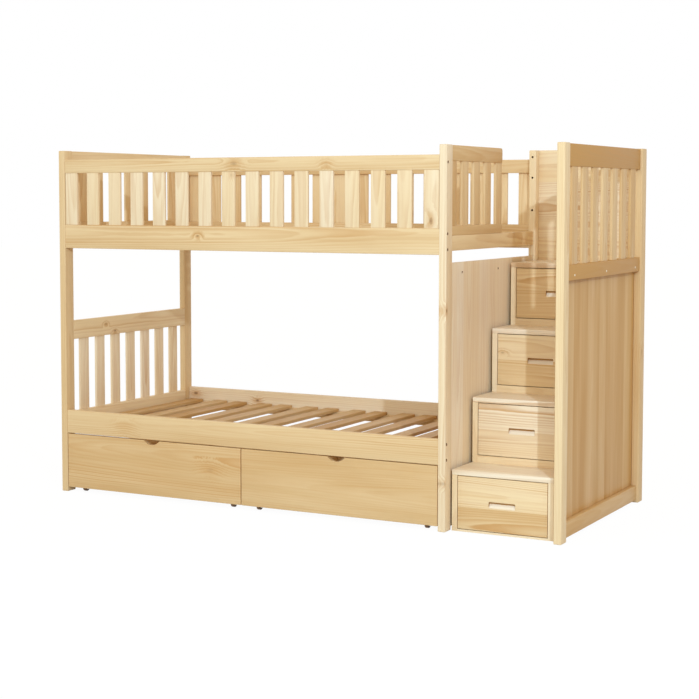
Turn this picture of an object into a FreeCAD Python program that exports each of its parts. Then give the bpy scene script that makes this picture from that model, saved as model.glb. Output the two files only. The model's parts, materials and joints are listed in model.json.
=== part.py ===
import FreeCAD, Part
import os
import re
import Sketcher

# A bunk bed with a storage staircase, in natural softwood.
#
# Frame: +Z up, millimetres. The origin is on the floor, under the middle of the footprint.
# X runs along the bed from its plain end to the stair end. The open side, where the steps and
# all the drawers face, looks along -Y. Places below are written from the front left corner of
# the footprint, and place() moves them to the origin.

SIZES = (
    ("bed_length", 2000, "over the bed's own posts"),
    ("bed_depth", 1084, "over the posts, front to back"),
    ("stair_bay", 478, "clear width between the bed's posts and the outer posts"),
    ("post_thickness", 34, "along the bed"),
    ("post_width", 62, "front to back"),
    ("post_height", 1620, ""),
    ("post_ease", 3, "chamfer of the posts' long edges"),
    ("rail_thickness", 25, "side rails and guard rails"),
    ("rail_setback", 1.5, "rail face behind the post face"),
    ("rail_ease", 2, "chamfer of the rails' long edges"),
    ("side_rail_height", 110, "the two rails that carry each mattress"),
    ("upper_rail_level", 1162, "underside of the upper side rails"),
    ("lower_rail_level", 282, "underside of the lower side rails"),
    ("guard_rail_height", 63, "top rail of the long guards"),
    ("guard_rail_drop", 42, "top of the long guards below the post tops"),
    ("slat_width", 67, "upright slats"),
    ("slat_thickness", 12, "upright slats"),
    ("slat_setback", 2, "slat face behind its rail's face"),
    ("slat_margin", 3, "gap between a guard's outermost slat and the post"),
    ("slat_ease", 1, "chamfer of the slats' long edges"),
    ("guard_slat_count", 16, "slats in each long guard"),
    ("end_slat_count", 7, "slats in each end"),
    ("half_guard_slat_count", 5, "slats beside the way in"),
    ("slat_tenon", 12, "length of a slat's tenon"),
    ("slat_tenon_cheek", 1.5, "slat face to tenon face"),
    ("slat_tenon_shoulder", 4, "slat edge to tenon edge"),
    ("joint_clearance", 0.2, "all round a tenon or tongue in its seat"),
    ("end_rail_thickness", 24, "rails between a front post and a back post"),
    ("end_rail_recess", 10, "end rail face behind the posts' outer face"),
    ("rail_tenon", 20, "length of an end rail's tenon"),
    ("side_rail_tenon", 14, "length of a side rail's tenon"),
    ("rail_tenon_cheek", 4, "rail face to tenon face"),
    ("rail_tenon_shoulder", 8, "rail edge to tenon edge"),
    ("head_rail_height", 66, "top rail of the bed's upper ends"),
    ("head_rail_drop", 1, "top rail below the post tops"),
    ("end_rail_level", 1177, "underside of the upper end rails"),
    ("plain_end_rail_height", 105, "upper end rail at the plain end"),
    ("stair_end_rail_height", 64, "upper end rail at the stair end"),
    ("half_guard_length", 572, "guard beside the way in"),
    ("half_guard_rail_height", 41, "its bottom rail"),
    ("half_guard_corner", 14, "rounding of its free top corner"),
    ("headboard_top", 814, "lower headboard at the plain end"),
    ("headboard_rail_height", 89, ""),
    ("headboard_foot_level", 282, "underside of the headboard's bottom rail"),
    ("headboard_foot_height", 96, ""),
    ("base_rail_level", 12, "underside of the rails near the floor"),
    ("base_rail_height", 67, ""),
    ("end_panel_thickness", 16, "panel at the stair end of the lower bed"),
    ("end_panel_top", 1127, ""),
    ("end_panel_tongue", 8, "how far the panel enters its posts"),
    ("panel_hole_diameter", 8, "holes that take the stair's screws"),
    ("panel_hole_level", 1084, ""),
    ("panel_hole_inset", 125, "first hole behind the front post"),
    ("panel_hole_back_inset", 33, "last hole in front of the back post"),
    ("panel_hole_count", 3, ""),
    ("outer_top_rail_height", 92, "top rail of the outer end"),
    ("outer_top_rail_drop", 2, ""),
    ("outer_mid_rail_level", 1064, "underside"),
    ("outer_mid_rail_height", 64, ""),
    ("outer_mid_rail_thickness", 26, ""),
    ("cleat_height", 35, "strips that carry the bed slats"),
    ("cleat_depth", 25, ""),
    ("bed_slat_pairs", 7, "pairs of slats under each mattress"),
    ("bed_slat_width", 70, ""),
    ("bed_slat_thickness", 15, ""),
    ("bed_slat_pair_gap", 82, "between the two slats of a pair"),
    ("bed_slat_first_gap", 20, "post to first slat"),
    ("bed_slat_last_gap", 58, "last slat to post"),
    ("bed_slat_end_gap", 2, "slat end to side rail"),
    ("spare_hole_diameter", 6, "holes that let the half guard change sides"),
    ("spare_hole_depth", 30, ""),
    ("spare_hole_top", 32, "highest spare hole below the post top"),
    ("spare_hole_step", 96, "next one below it"),
    ("spare_hole_drop", 152, "last one below that"),
    ("back_board_thickness", 16, "board behind the stair bay"),
    ("back_board_recess", 4, "its back below the posts' back face"),
    ("step_rise", 282, "tread to tread"),
    ("first_tread_top", 260, ""),
    ("step_run", 216, "step front to step front"),
    ("first_step_front", 55, "first step behind the posts' front face"),
    ("tread_thickness", 22, ""),
    ("stair_gap", 7, "between the bed and the stair's side"),
    ("stair_side_thickness", 18, "stepped side next to the bed"),
    ("stair_panel_thickness", 20, "side under the outer end"),
    ("frame_stile_width", 24, "uprights beside each drawer"),
    ("frame_thickness", 20, ""),
    ("frame_rail_height", 31, "under drawers two to four"),
    ("base_frame_rail_height", 9, "under the lowest drawer"),
    ("front_gap", 3, "all round a drawer front"),
    ("front_thickness", 20, "drawer fronts"),
    ("front_ease", 2, ""),
    ("pull_length", 118, "routed finger pull"),
    ("pull_height", 26, ""),
    ("pull_depth", 13, ""),
    ("pull_lip", 6, "wood left in front of its undercut"),
    ("pull_undercut", 5, "how far it reaches up behind the lip"),
    ("drawer_side_thickness", 12, ""),
    ("drawer_bottom_thickness", 6, ""),
    ("drawer_groove_depth", 5, "bottom panel let into the drawer sides"),
    ("drawer_bottom_lift", 8, "bottom panel above the sides' lower edge"),
    ("drawer_inset", 6, "drawer side inside the frame opening"),
    ("drawer_lift", 12, "drawer sides above the front's lower edge"),
    ("drawer_headroom", 26, "drawer sides below the front's top edge"),
    ("drawer_back_room", 14, "between a drawer and the back board"),
    ("runner_height", 20, ""),
    ("runner_overlap", 10, "how far a runner reaches under a drawer side"),
    ("running_gap", 0.3, "between moving wood and what guides it"),
    ("cleat_width", 18, "strips that carry the treads' outer ends"),
    ("box_front_thickness", 20, "rolling boxes under the bed"),
    ("box_front_height", 251, ""),
    ("box_front_lift", 22, "above the floor"),
    ("box_side_gap", 3, "between a box front and the post"),
    ("box_middle_gap", 4, "between the two fronts"),
    ("box_depth", 880, "front to back"),
    ("box_side_inset", 14, "box side inside the end of its front"),
    ("box_side_height", 150, ""),
    ("box_bottom_thickness", 9, ""),
    ("box_bottom_level", 44, "underside of the box bottom"),
    ("box_notch_width", 86, "half-moon finger hole in the top edge"),
    ("box_notch_depth", 20, ""),
    ("wheel_diameter", 36, ""),
    ("wheel_width", 16, ""),
    ("wheel_clearance", 0.05, "wheel bore to pin, on the radius"),
    ("wheel_side_play", 1, "wheel to fork, each side"),
    ("wheel_inset", 66, "wheel middle inside the end of the front"),
    ("wheel_setback", 52, "front wheels behind the front's face"),
    ("wheel_back_inset", 60, "back wheels in from the box's back"),
    ("fork_thickness", 2.5, ""),
    ("fork_width", 28, "front to back"),
    ("fork_plate", 46, "side to side"),
    ("fork_corner", 8, "cut corners of the cheeks"),
    ("fork_overhang", 9, "cheek below the wheel pin"),
    ("pin_diameter", 6, "wheel pins"),
)
STEPS = 4

NAMES = {name for name, value, note in SIZES}

TOTAL_LENGTH = "(bed_length + stair_bay + post_thickness)"
INNER_LENGTH = "(bed_length - 2 * post_thickness)"
INNER_DEPTH = "(bed_depth - 2 * post_width)"
RIGHT_POST = "(bed_length - post_thickness)"
BACK_POST = "(bed_depth - post_width)"
OUTER_POST = "(bed_length + stair_bay)"
FRONT_RAIL = "rail_setback"
BACK_RAIL = "(bed_depth - rail_setback - rail_thickness)"
GUARD_TOP = "(post_height - guard_rail_drop)"
HEAD_TOP = "(post_height - head_rail_drop)"
LEFT_END_RAIL = "end_rail_recess"
RIGHT_END_RAIL = "(bed_length - end_rail_recess - end_rail_thickness)"
OUTER_RAIL = f"({OUTER_POST} + post_thickness - end_rail_recess - end_rail_thickness)"
OUTER_MID_TOP = "(outer_mid_rail_level + outer_mid_rail_height)"
END_SLAT_GAP = f"(({INNER_DEPTH} - end_slat_count * slat_width) / (end_slat_count + 1))"
END_SLAT_PITCH = f"({END_SLAT_GAP} + slat_width)"
GUARD_PITCH = f"(({INNER_LENGTH} - 2 * slat_margin - slat_width) / (guard_slat_count - 1))"
HALF_GUARD_PITCH = "((half_guard_length - 2 * slat_margin - slat_width) / (half_guard_slat_count - 1))"
BED_SLAT_PAIR = "(2 * bed_slat_width + bed_slat_pair_gap)"
BED_SLAT_ROOM = f"({INNER_LENGTH} - bed_slat_first_gap - bed_slat_last_gap)"
BED_SLAT_PITCH = f"(({BED_SLAT_ROOM} - {BED_SLAT_PAIR}) / (bed_slat_pairs - 1))"
BACK_BOARD_FRONT = "(bed_depth - back_board_recess - back_board_thickness)"
STAIR_LEFT = "(bed_length + stair_gap)"
STAIR_RIGHT = "(bed_length + stair_bay - stair_panel_thickness)"
STAIR_WIDTH = "(stair_bay - stair_gap - stair_panel_thickness)"

doc = FreeCAD.newDocument("BunkBed")
sheet = doc.addObject("Spreadsheet::Sheet", "Sizes")
nodes = []


def formula(text):
    """The text as an expression, with each size's name pointed at the sheet."""
    return re.sub(r"[a-z_]+", lambda word: "Sizes." * (word.group() in NAMES) + word.group(), text)


def bind(thing, path, text):
    thing.setExpression(path, formula(text))


def fill_sheet():
    for row, (name, value, note) in enumerate(SIZES, start=1):
        sheet.set(f"A{row}", name)
        sheet.set(f"B{row}", str(value))
        sheet.setAlias(f"B{row}", name)
        sheet.set(f"C{row}", note)
    doc.recompute()


def place(thing, x, y, z):
    """Puts a sub-part's local origin at a point counted from the footprint's front left corner."""
    bind(thing, "Placement.Base.x", f"{x} - {TOTAL_LENGTH} / 2")
    bind(thing, "Placement.Base.y", f"{y} - bed_depth / 2")
    bind(thing, "Placement.Base.z", z)


def new_body(label):
    body = doc.addObject("PartDesign::Body", label)
    body.Label = label
    return body


def node(thing):
    """Marks a finished sub-part for export."""
    nodes.append(thing)
    return thing


def group(label, members):
    compound = doc.addObject("Part::Compound", label)
    compound.Label = label
    compound.Links = members
    return node(compound)


def origin_feature(body, role):
    return next(part for part in body.Origin.OriginFeatures if part.Role == role)


def new_sketch(body, plane, offset=None):
    """A sketch on one of the body's own planes, moved along the plane's normal by a formula."""
    sketch = body.newObject("Sketcher::SketchObject", "Sketch")
    sketch.AttachmentSupport = (origin_feature(body, plane), [""])
    sketch.MapMode = "FlatFace"
    if offset:
        bind(sketch, "AttachmentOffset.Base.z", offset)
    return sketch


def constrain(sketch, kind, *where, name=None, size=None):
    index = sketch.addConstraint(Sketcher.Constraint(kind, *where))
    if name:
        sketch.renameConstraint(index, name)
        bind(sketch, f"Constraints.{name}", size)


def pin_point(sketch, geometry, point, left, bottom):
    """Ties a point to the sketch's origin by formulas, or to an axis where there is none."""
    if left:
        constrain(sketch, "DistanceX", -1, 1, geometry, point, 10.0, name="left", size=left)
    else:
        constrain(sketch, "PointOnObject", geometry, point, -2)
    if bottom:
        constrain(sketch, "DistanceY", -1, 1, geometry, point, 10.0, name="bottom", size=bottom)
    else:
        constrain(sketch, "PointOnObject", geometry, point, -1)


def closed_outline(sketch, points):
    """Lines round the points, joined end to start."""
    count = len(points)
    for index, start in enumerate(points):
        end = points[(index + 1) % count]
        sketch.addGeometry(Part.LineSegment(FreeCAD.Vector(*start, 0), FreeCAD.Vector(*end, 0)))
    for index in range(count):
        constrain(sketch, "Coincident", index, 2, (index + 1) % count, 1)


def rectangle(sketch, width, height, left=None, bottom=None):
    closed_outline(sketch, ((0, 0), (10, 0), (10, 10), (0, 10)))
    for side in (0, 2):
        constrain(sketch, "Horizontal", side)
    for side in (1, 3):
        constrain(sketch, "Vertical", side)
    pin_point(sketch, 0, 1, left, bottom)
    constrain(sketch, "DistanceX", 0, 1, 0, 2, 10.0, name="width", size=width)
    constrain(sketch, "DistanceY", 1, 1, 1, 2, 10.0, name="height", size=height)


def circle(sketch, diameter, left, bottom, tag=""):
    """A circle with its own named constraints, so that one sketch can hold several."""
    index = sketch.addGeometry(Part.Circle(FreeCAD.Vector(20, 20, 0), FreeCAD.Vector(0, 0, 1), 3))
    constrain(sketch, "Diameter", index, 6.0, name=f"diameter{tag}", size=diameter)
    if left:
        constrain(sketch, "DistanceX", -1, 1, index, 3, 20.0, name=f"left{tag}", size=left)
    else:
        constrain(sketch, "PointOnObject", index, 3, -2)
    if bottom:
        constrain(sketch, "DistanceY", -1, 1, index, 3, 20.0, name=f"bottom{tag}", size=bottom)
    else:
        constrain(sketch, "PointOnObject", index, 3, -1)


def pad(body, sketch, length, reverse=False):
    feature = body.newObject("PartDesign::Pad", "Pad")
    feature.Profile = sketch
    feature.Reversed = reverse
    bind(feature, "Length", length)
    doc.recompute()
    return feature


def must_cut(feature):
    """Stops the build if a pocket points away from the wood."""
    doc.recompute()
    if feature.Shape.Volume > feature.BaseFeature.Shape.Volume - 1:
        raise ValueError(f"{feature.getParentGeoFeatureGroup().Label}: a cut removes nothing")
    return feature


def pocket(body, sketch, depth, reverse=False):
    """Cuts against the sketch plane's normal, or along it where reverse is set."""
    feature = body.newObject("PartDesign::Pocket", "Pocket")
    feature.Profile = sketch
    feature.Reversed = reverse
    bind(feature, "Length", depth)
    return must_cut(feature)


def row_of(body, features, axis, count, pitch):
    """Repeats features along an axis. With no features, the whole body so far is repeated."""
    pattern = body.newObject("PartDesign::LinearPattern", "Row")
    if features:
        pattern.Originals = features
    else:
        pattern.TransformMode = "Whole shape"
    pattern.Direction = (origin_feature(body, f"{axis}_Axis"), [""])
    pattern.Mode = "Spacing"
    bind(pattern, "Offset", pitch)
    bind(pattern, "Occurrences", count)
    body.Tip = pattern
    doc.recompute()
    return pattern


def long_edges(feature, axis):
    """The edges along an axis that run more than half the feature's length."""
    box = feature.Shape.BoundBox
    length = {"X": box.XLength, "Y": box.YLength, "Z": box.ZLength}[axis]
    found = []
    for number, edge in enumerate(feature.Shape.Edges, start=1):
        start, end = (vertex.Point for vertex in edge.Vertexes)
        if abs(getattr(end - start, axis.lower())) > length / 2 and edge.Length < length + 0.01:
            found.append(f"Edge{number}")
    return found


def ease_edges(body, feature, axis, size, kind="Chamfer"):
    dressed = body.newObject(f"PartDesign::{kind}", "Ease")
    dressed.Base = (feature, long_edges(feature, axis))
    bind(dressed, "Radius" if kind == "Fillet" else "Size", size)
    doc.recompute()
    return dressed


SECTION = {"X": ("YZ_Plane", False), "Y": ("XZ_Plane", True), "Z": ("XY_Plane", False)}


def stick(body, axis, size, ease=None, kind="Chamfer"):
    """A board of size (x, y, z) that runs along an axis from the body's origin."""
    plane, reverse = SECTION[axis]
    across = [size["XYZ".index(other)] for other in "XYZ" if other != axis]
    sketch = new_sketch(body, plane)
    rectangle(sketch, *across)
    feature = pad(body, sketch, size["XYZ".index(axis)], reverse)
    if ease:
        feature = ease_edges(body, feature, axis, ease, kind)
    return feature


def tenons(body, axis, size, length, insets, ends=2):
    """A tongue through the board that stands out as a tenon at its start, and at its end too
    where ends is 2. The insets are from the board's faces, in the order of its section."""
    plane, reverse = SECTION[axis]
    across = [size["XYZ".index(other)] for other in "XYZ" if other != axis]
    sketch = new_sketch(body, plane, length if reverse else f"-{length}")
    inner = [f"{side} - 2 * {inset}" for side, inset in zip(across, insets)]
    rectangle(sketch, *inner, *insets)
    return pad(body, sketch, f"{size['XYZ'.index(axis)]} + {ends} * {length}", reverse)


def board(label, axis, size, at, ease=None, kind="Chamfer"):
    """A plain straight board in a body of its own."""
    body = new_body(label)
    stick(body, axis, size, ease, kind)
    place(body, *at)
    return body


# Upright slats and the rails that hold them

def slat_row(label, axis, count, pitch, height, at):
    """Slats with a tenon at each end, in a row along X or Y. at is the first slat's corner."""
    body = new_body(label)
    body.AllowCompound = True
    flat = ("slat_width", "slat_thickness", height)
    insets = ("slat_tenon_shoulder", "slat_tenon_cheek")
    if axis == "Y":
        flat = ("slat_thickness", "slat_width", height)
        insets = ("slat_tenon_cheek", "slat_tenon_shoulder")
    slat = stick(body, "Z", flat, "slat_ease")
    tenons(body, "Z", flat, "slat_tenon", insets)
    row_of(body, None, axis, count, pitch)
    place(body, *at)
    return node(body)


def slat_mortises(body, axis, face, rail_height, first, setback, count, pitch):
    """Mortises for a row of slats in a rail's top or bottom edge."""
    top = face == "top"
    sketch = new_sketch(body, "XY_Plane", rail_height if top else None)
    long_side = "slat_width - 2 * slat_tenon_shoulder + 2 * joint_clearance"
    short_side = "slat_thickness - 2 * slat_tenon_cheek + 2 * joint_clearance"
    start = f"{first} + slat_tenon_shoulder - joint_clearance"
    cheek = f"{setback} + slat_tenon_cheek - joint_clearance"
    if axis == "X":
        rectangle(sketch, long_side, short_side, start, cheek)
    else:
        rectangle(sketch, short_side, long_side, cheek, start)
    cut = pocket(body, sketch, "slat_tenon + joint_clearance", reverse=not top)
    row_of(body, [cut], axis, count, pitch)


def long_guard(side, rail_y, slat_y, setback):
    """The rails and slats along one long side of the upper bed."""
    height = f"({GUARD_TOP} - guard_rail_height - upper_rail_level - side_rail_height)"
    spacing = ("guard_slat_count", GUARD_PITCH)
    top_rail = long_rail(f"upper_{side}_top_rail", rail_y, f"{GUARD_TOP} - guard_rail_height",
                         "guard_rail_height")
    slat_mortises(top_rail, "X", "bottom", "guard_rail_height", "slat_margin", setback, *spacing)
    node(top_rail)
    slat_row(f"upper_{side}_slats", "X", *spacing, height,
             ("post_thickness + slat_margin", slat_y, "upper_rail_level + side_rail_height"))
    side_rail = long_rail(f"upper_{side}_side_rail", rail_y, "upper_rail_level", "side_rail_height")
    slat_mortises(side_rail, "X", "top", "side_rail_height", "slat_margin", setback, *spacing)
    node(side_rail)


def long_rail(label, rail_y, level, height):
    """A rail along the bed, tenoned into its posts."""
    body = new_body(label)
    size = (INNER_LENGTH, "rail_thickness", height)
    stick(body, "X", size, "rail_ease")
    tenons(body, "X", size, "side_rail_tenon", ("rail_tenon_cheek", "rail_tenon_shoulder"))
    place(body, "post_thickness", rail_y, level)
    return body


def end_rail(label, x, level, height, thickness="end_rail_thickness", length=INNER_DEPTH, ends=2,
             free_corner=None):
    """A rail from a front post back, tenoned into its posts, or into the front one only."""
    body = new_body(label)
    size = (thickness, length, height)
    bar = stick(body, "Y", size)
    if free_corner:
        bar = round_free_corner(body, bar, free_corner)
    ease_edges(body, bar, "Y", "rail_ease")
    tenons(body, "Y", size, "rail_tenon", ("rail_tenon_cheek", "rail_tenon_shoulder"), ends)
    place(body, x, "post_width", level)
    return body


def slatted_end(name, slat_x, bottom, top, bottom_setback, top_setback):
    """Slats between two end rails. bottom and top are (rail body, level, height)."""
    spacing = ("end_slat_count", END_SLAT_PITCH)
    slat_mortises(bottom[0], "Y", "top", bottom[2], END_SLAT_GAP, bottom_setback, *spacing)
    slat_mortises(top[0], "Y", "bottom", top[2], END_SLAT_GAP, top_setback, *spacing)
    foot = f"({bottom[1]} + {bottom[2]})"
    slat_row(name, "Y", *spacing, f"({top[1]} - {foot})", (slat_x, f"post_width + {END_SLAT_GAP}", foot))
    node(bottom[0])
    node(top[0])


def plain_end():
    """The closed end of both beds, away from the stairs. Its slats lie behind the outer faces."""
    slat_x = f"{LEFT_END_RAIL} + slat_setback"
    upper_top = (f"{HEAD_TOP} - head_rail_height", "head_rail_height")
    upper = (
        end_rail("upper_left_bottom_rail", LEFT_END_RAIL, "end_rail_level", "plain_end_rail_height"),
        end_rail("upper_left_top_rail", LEFT_END_RAIL, *upper_top))
    slatted_end("upper_left_slats", slat_x,
                (upper[0], "end_rail_level", "plain_end_rail_height"),
                (upper[1], *upper_top), "slat_setback", "slat_setback")
    head_top = ("headboard_top - headboard_rail_height", "headboard_rail_height")
    lower = (
        end_rail("headboard_bottom_rail", LEFT_END_RAIL, "headboard_foot_level", "headboard_foot_height"),
        end_rail("headboard_top_rail", LEFT_END_RAIL, *head_top))
    slatted_end("headboard_slats", slat_x,
                (lower[0], "headboard_foot_level", "headboard_foot_height"),
                (lower[1], *head_top), "slat_setback", "slat_setback")


def stair_end():
    """The end of the beds at the stairs: a rail, a half guard and a panel below."""
    node(end_rail("upper_right_end_rail", RIGHT_END_RAIL, "end_rail_level", "stair_end_rail_height"))
    foot_level = "(end_rail_level + stair_end_rail_height)"
    top_level = f"({HEAD_TOP} - head_rail_height)"
    half = {"length": "half_guard_length", "ends": 1}
    foot = end_rail("half_guard_bottom_rail", RIGHT_END_RAIL, foot_level, "half_guard_rail_height", **half)
    head = end_rail("half_guard_top_rail", RIGHT_END_RAIL, top_level, "head_rail_height",
                    free_corner="half_guard_corner", **half)
    spacing = ("half_guard_slat_count", HALF_GUARD_PITCH)
    setback = "end_rail_thickness - slat_setback - slat_thickness"
    slat_mortises(foot, "Y", "top", "half_guard_rail_height", "slat_margin", setback, *spacing)
    slat_mortises(head, "Y", "bottom", "head_rail_height", "slat_margin", setback, *spacing)
    node(foot)
    node(head)
    slat_foot = f"({foot_level} + half_guard_rail_height)"
    slat_row("half_guard_slats", "Y", *spacing, f"({top_level} - {slat_foot})",
             (f"{RIGHT_END_RAIL} + {setback}", "post_width + slat_margin", slat_foot))
    node(end_rail("right_base_rail", RIGHT_END_RAIL, "base_rail_level", "base_rail_height"))
    end_panel()


def round_free_corner(body, bar, radius):
    """Rounds a bar's top corner at its far end."""
    whole = bar.Shape.BoundBox
    corner = body.newObject("PartDesign::Fillet", "FreeCorner")
    edges = []
    for number, edge in enumerate(bar.Shape.Edges, start=1):
        box = edge.BoundBox
        if box.YMin > whole.YMax - 0.01 and box.ZMin > whole.ZMax - 0.01:
            edges.append(f"Edge{number}")
    corner.Base = (bar, edges)
    bind(corner, "Radius", radius)
    doc.recompute()
    return corner


def end_panel():
    """The upright-grained panel at the stair end of the lower bed, in grooves in its posts."""
    body = new_body("right_end_panel")
    foot = "(base_rail_level + base_rail_height)"
    sunk = "(end_panel_tongue - joint_clearance)"
    size = ("end_panel_thickness", f"{INNER_DEPTH} + 2 * {sunk}", f"end_panel_top - {foot}")
    stick(body, "Z", size)
    sketch = new_sketch(body, "YZ_Plane", "end_panel_thickness")
    circle(sketch, "panel_hole_diameter", f"{sunk} + panel_hole_inset", f"panel_hole_level - {foot}")
    hole = pocket(body, sketch, "end_panel_thickness")
    pitch = f"({INNER_DEPTH} - panel_hole_inset - panel_hole_back_inset) / (panel_hole_count - 1)"
    row_of(body, [hole], "Y", "panel_hole_count", pitch)
    place(body, "bed_length - (post_thickness + end_panel_thickness) / 2", f"post_width - {sunk}", foot)
    node(body)


def outer_end():
    """The frame at the far side of the stairs: slats above, and rails over the stair's panel."""
    top_level = "(post_height - outer_top_rail_drop - outer_top_rail_height)"
    top = end_rail("outer_top_rail", OUTER_RAIL, top_level, "outer_top_rail_height")
    middle = end_rail("outer_middle_rail", OUTER_POST, "outer_mid_rail_level",
                      "outer_mid_rail_height", "outer_mid_rail_thickness")
    setback = "(end_rail_thickness - slat_setback - slat_thickness)"
    slat_x = f"({OUTER_RAIL} + {setback})"
    middle_setback = f"({slat_x} - {OUTER_POST})"
    slatted_end("outer_end_slats", slat_x,
                (middle, "outer_mid_rail_level", "outer_mid_rail_height"),
                (top, top_level, "outer_top_rail_height"), middle_setback, setback)
    node(end_rail("outer_base_rail", OUTER_RAIL, "base_rail_level", "base_rail_height"))


# Posts

def tenon_seat(body, sketch, thickness, height, across, level, tenon, reverse):
    """A mortise for a rail's tenon. across and level are the rail's own edge and underside."""
    rectangle(sketch, f"{thickness} - 2 * rail_tenon_cheek + 2 * joint_clearance",
              f"{height} - 2 * rail_tenon_shoulder + 2 * joint_clearance",
              f"{across} + rail_tenon_cheek - joint_clearance",
              f"{level} + rail_tenon_shoulder - joint_clearance")
    pocket(body, sketch, f"{tenon} + joint_clearance", reverse)


def post(label, x, at_back, end_rails, long_rails=None, grooved=False):
    """A corner post. end_rails lists (offset along X, underside, thickness, height) of the rails
    towards the other post of its end. long_rails is None, or the side that its long rails are on."""
    body = board(label, "Z", ("post_thickness", "post_width", "post_height"),
                 (x, BACK_POST if at_back else "0", "0"), "post_ease")
    for offset, level, thickness, height in end_rails:
        seat = inner_face_sketch(body, at_back)
        tenon_seat(body, seat, thickness, height, offset, level, "rail_tenon", not at_back)
    if grooved:
        groove = inner_face_sketch(body, at_back)
        rectangle(groove, "end_panel_thickness + 2 * joint_clearance",
                  "end_panel_top - base_rail_level - base_rail_height + 2 * joint_clearance",
                  "(post_thickness - end_panel_thickness) / 2 - joint_clearance",
                  "base_rail_level + base_rail_height - joint_clearance")
        pocket(body, groove, "end_panel_tongue", reverse=not at_back)
    if long_rails:
        across = "(post_width - rail_setback - rail_thickness)" if at_back else "rail_setback"
        for level, height in LONG_RAILS:
            seat = new_sketch(body, "YZ_Plane", "post_thickness" if long_rails == "right" else None)
            tenon_seat(body, seat, "rail_thickness", height, across, level, "side_rail_tenon",
                       long_rails == "left")
    return node(body)


def inner_face_sketch(body, at_back):
    """A sketch on the post face that looks at the other post of its end."""
    return new_sketch(body, "XZ_Plane", None if at_back else "-post_width")


def spare_holes(body):
    """Holes in the front face of the bed's back post, for the half guard on the other side."""
    sketch = new_sketch(body, "XZ_Plane")
    level = "post_height - spare_hole_top"
    for tag, step in zip("abc", ("0", "spare_hole_step", "spare_hole_step + spare_hole_drop")):
        circle(sketch, "spare_hole_diameter", "post_thickness / 2", f"{level} - ({step})", tag)
    pocket(body, sketch, "spare_hole_depth")


def all_posts():
    head_level = f"({HEAD_TOP} - head_rail_height)"
    left_recess = "end_rail_recess"
    right_recess = "(post_thickness - end_rail_recess - end_rail_thickness)"
    rail = "end_rail_thickness"
    left = (
        (left_recess, head_level, rail, "head_rail_height"),
        (left_recess, "end_rail_level", rail, "plain_end_rail_height"),
        (left_recess, "headboard_top - headboard_rail_height", rail, "headboard_rail_height"),
        (left_recess, "headboard_foot_level", rail, "headboard_foot_height"))
    both_right = (
        (right_recess, "end_rail_level", rail, "stair_end_rail_height"),
        (right_recess, "base_rail_level", rail, "base_rail_height"))
    front_right = both_right + (
        (right_recess, "end_rail_level + stair_end_rail_height", rail, "half_guard_rail_height"),
        (right_recess, head_level, rail, "head_rail_height"))
    outer = (
        (right_recess, "post_height - outer_top_rail_drop - outer_top_rail_height", rail,
         "outer_top_rail_height"),
        (None, "outer_mid_rail_level", "outer_mid_rail_thickness", "outer_mid_rail_height"),
        (right_recess, "base_rail_level", rail, "base_rail_height"))
    outer = tuple((offset or "0", *rest) for offset, *rest in outer)
    post("post_front_left", "0", False, left, "right")
    post("post_back_left", "0", True, left, "right")
    post("post_front_right", RIGHT_POST, False, front_right, "left", grooved=True)
    spare_holes(post("post_back_right", RIGHT_POST, True, both_right, "left", grooved=True))
    post("outer_post_front", OUTER_POST, False, outer)
    post("outer_post_back", OUTER_POST, True, outer)


LONG_RAILS = (
    (f"({GUARD_TOP} - guard_rail_height)", "guard_rail_height"),
    ("upper_rail_level", "side_rail_height"),
    ("lower_rail_level", "side_rail_height"),
)


# Bed bases

def bed_base(name, level):
    """Cleats along the side rails, and the slats that lie loose on them in pairs."""
    behind_front = "(rail_setback + rail_thickness)"
    size = (INNER_LENGTH, "cleat_depth", "cleat_height")
    cleats = []
    for side, y in (("front", behind_front), ("back", f"{BACK_RAIL} - cleat_depth")):
        cleats.append(board(f"{name}_{side}_cleat", "X", size, ("post_thickness", y, level)))
    body = new_body(f"{name}_bed_slats")
    body.AllowCompound = True
    length = f"{BACK_RAIL} - {behind_front} - 2 * bed_slat_end_gap"
    stick(body, "Y", ("bed_slat_width", length, "bed_slat_thickness"), "slat_ease")
    row_of(body, None, "X", "2", "bed_slat_width + bed_slat_pair_gap")
    row_of(body, None, "X", "bed_slat_pairs", BED_SLAT_PITCH)
    place(body, "post_thickness + bed_slat_first_gap", f"{behind_front} + bed_slat_end_gap",
          f"{level} + cleat_height")
    node(body)
    return cleats


# Stairs

def tread_top(step):
    return f"(first_tread_top + {step} * step_rise)"


def step_front(step):
    return f"(first_step_front + {step} * step_run)"


def opening_foot(step):
    """Underside of a drawer's opening: the top of the rail below it."""
    if step == 0:
        return "base_frame_rail_height"
    return f"({tread_top(step - 1)} + frame_rail_height)"


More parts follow.
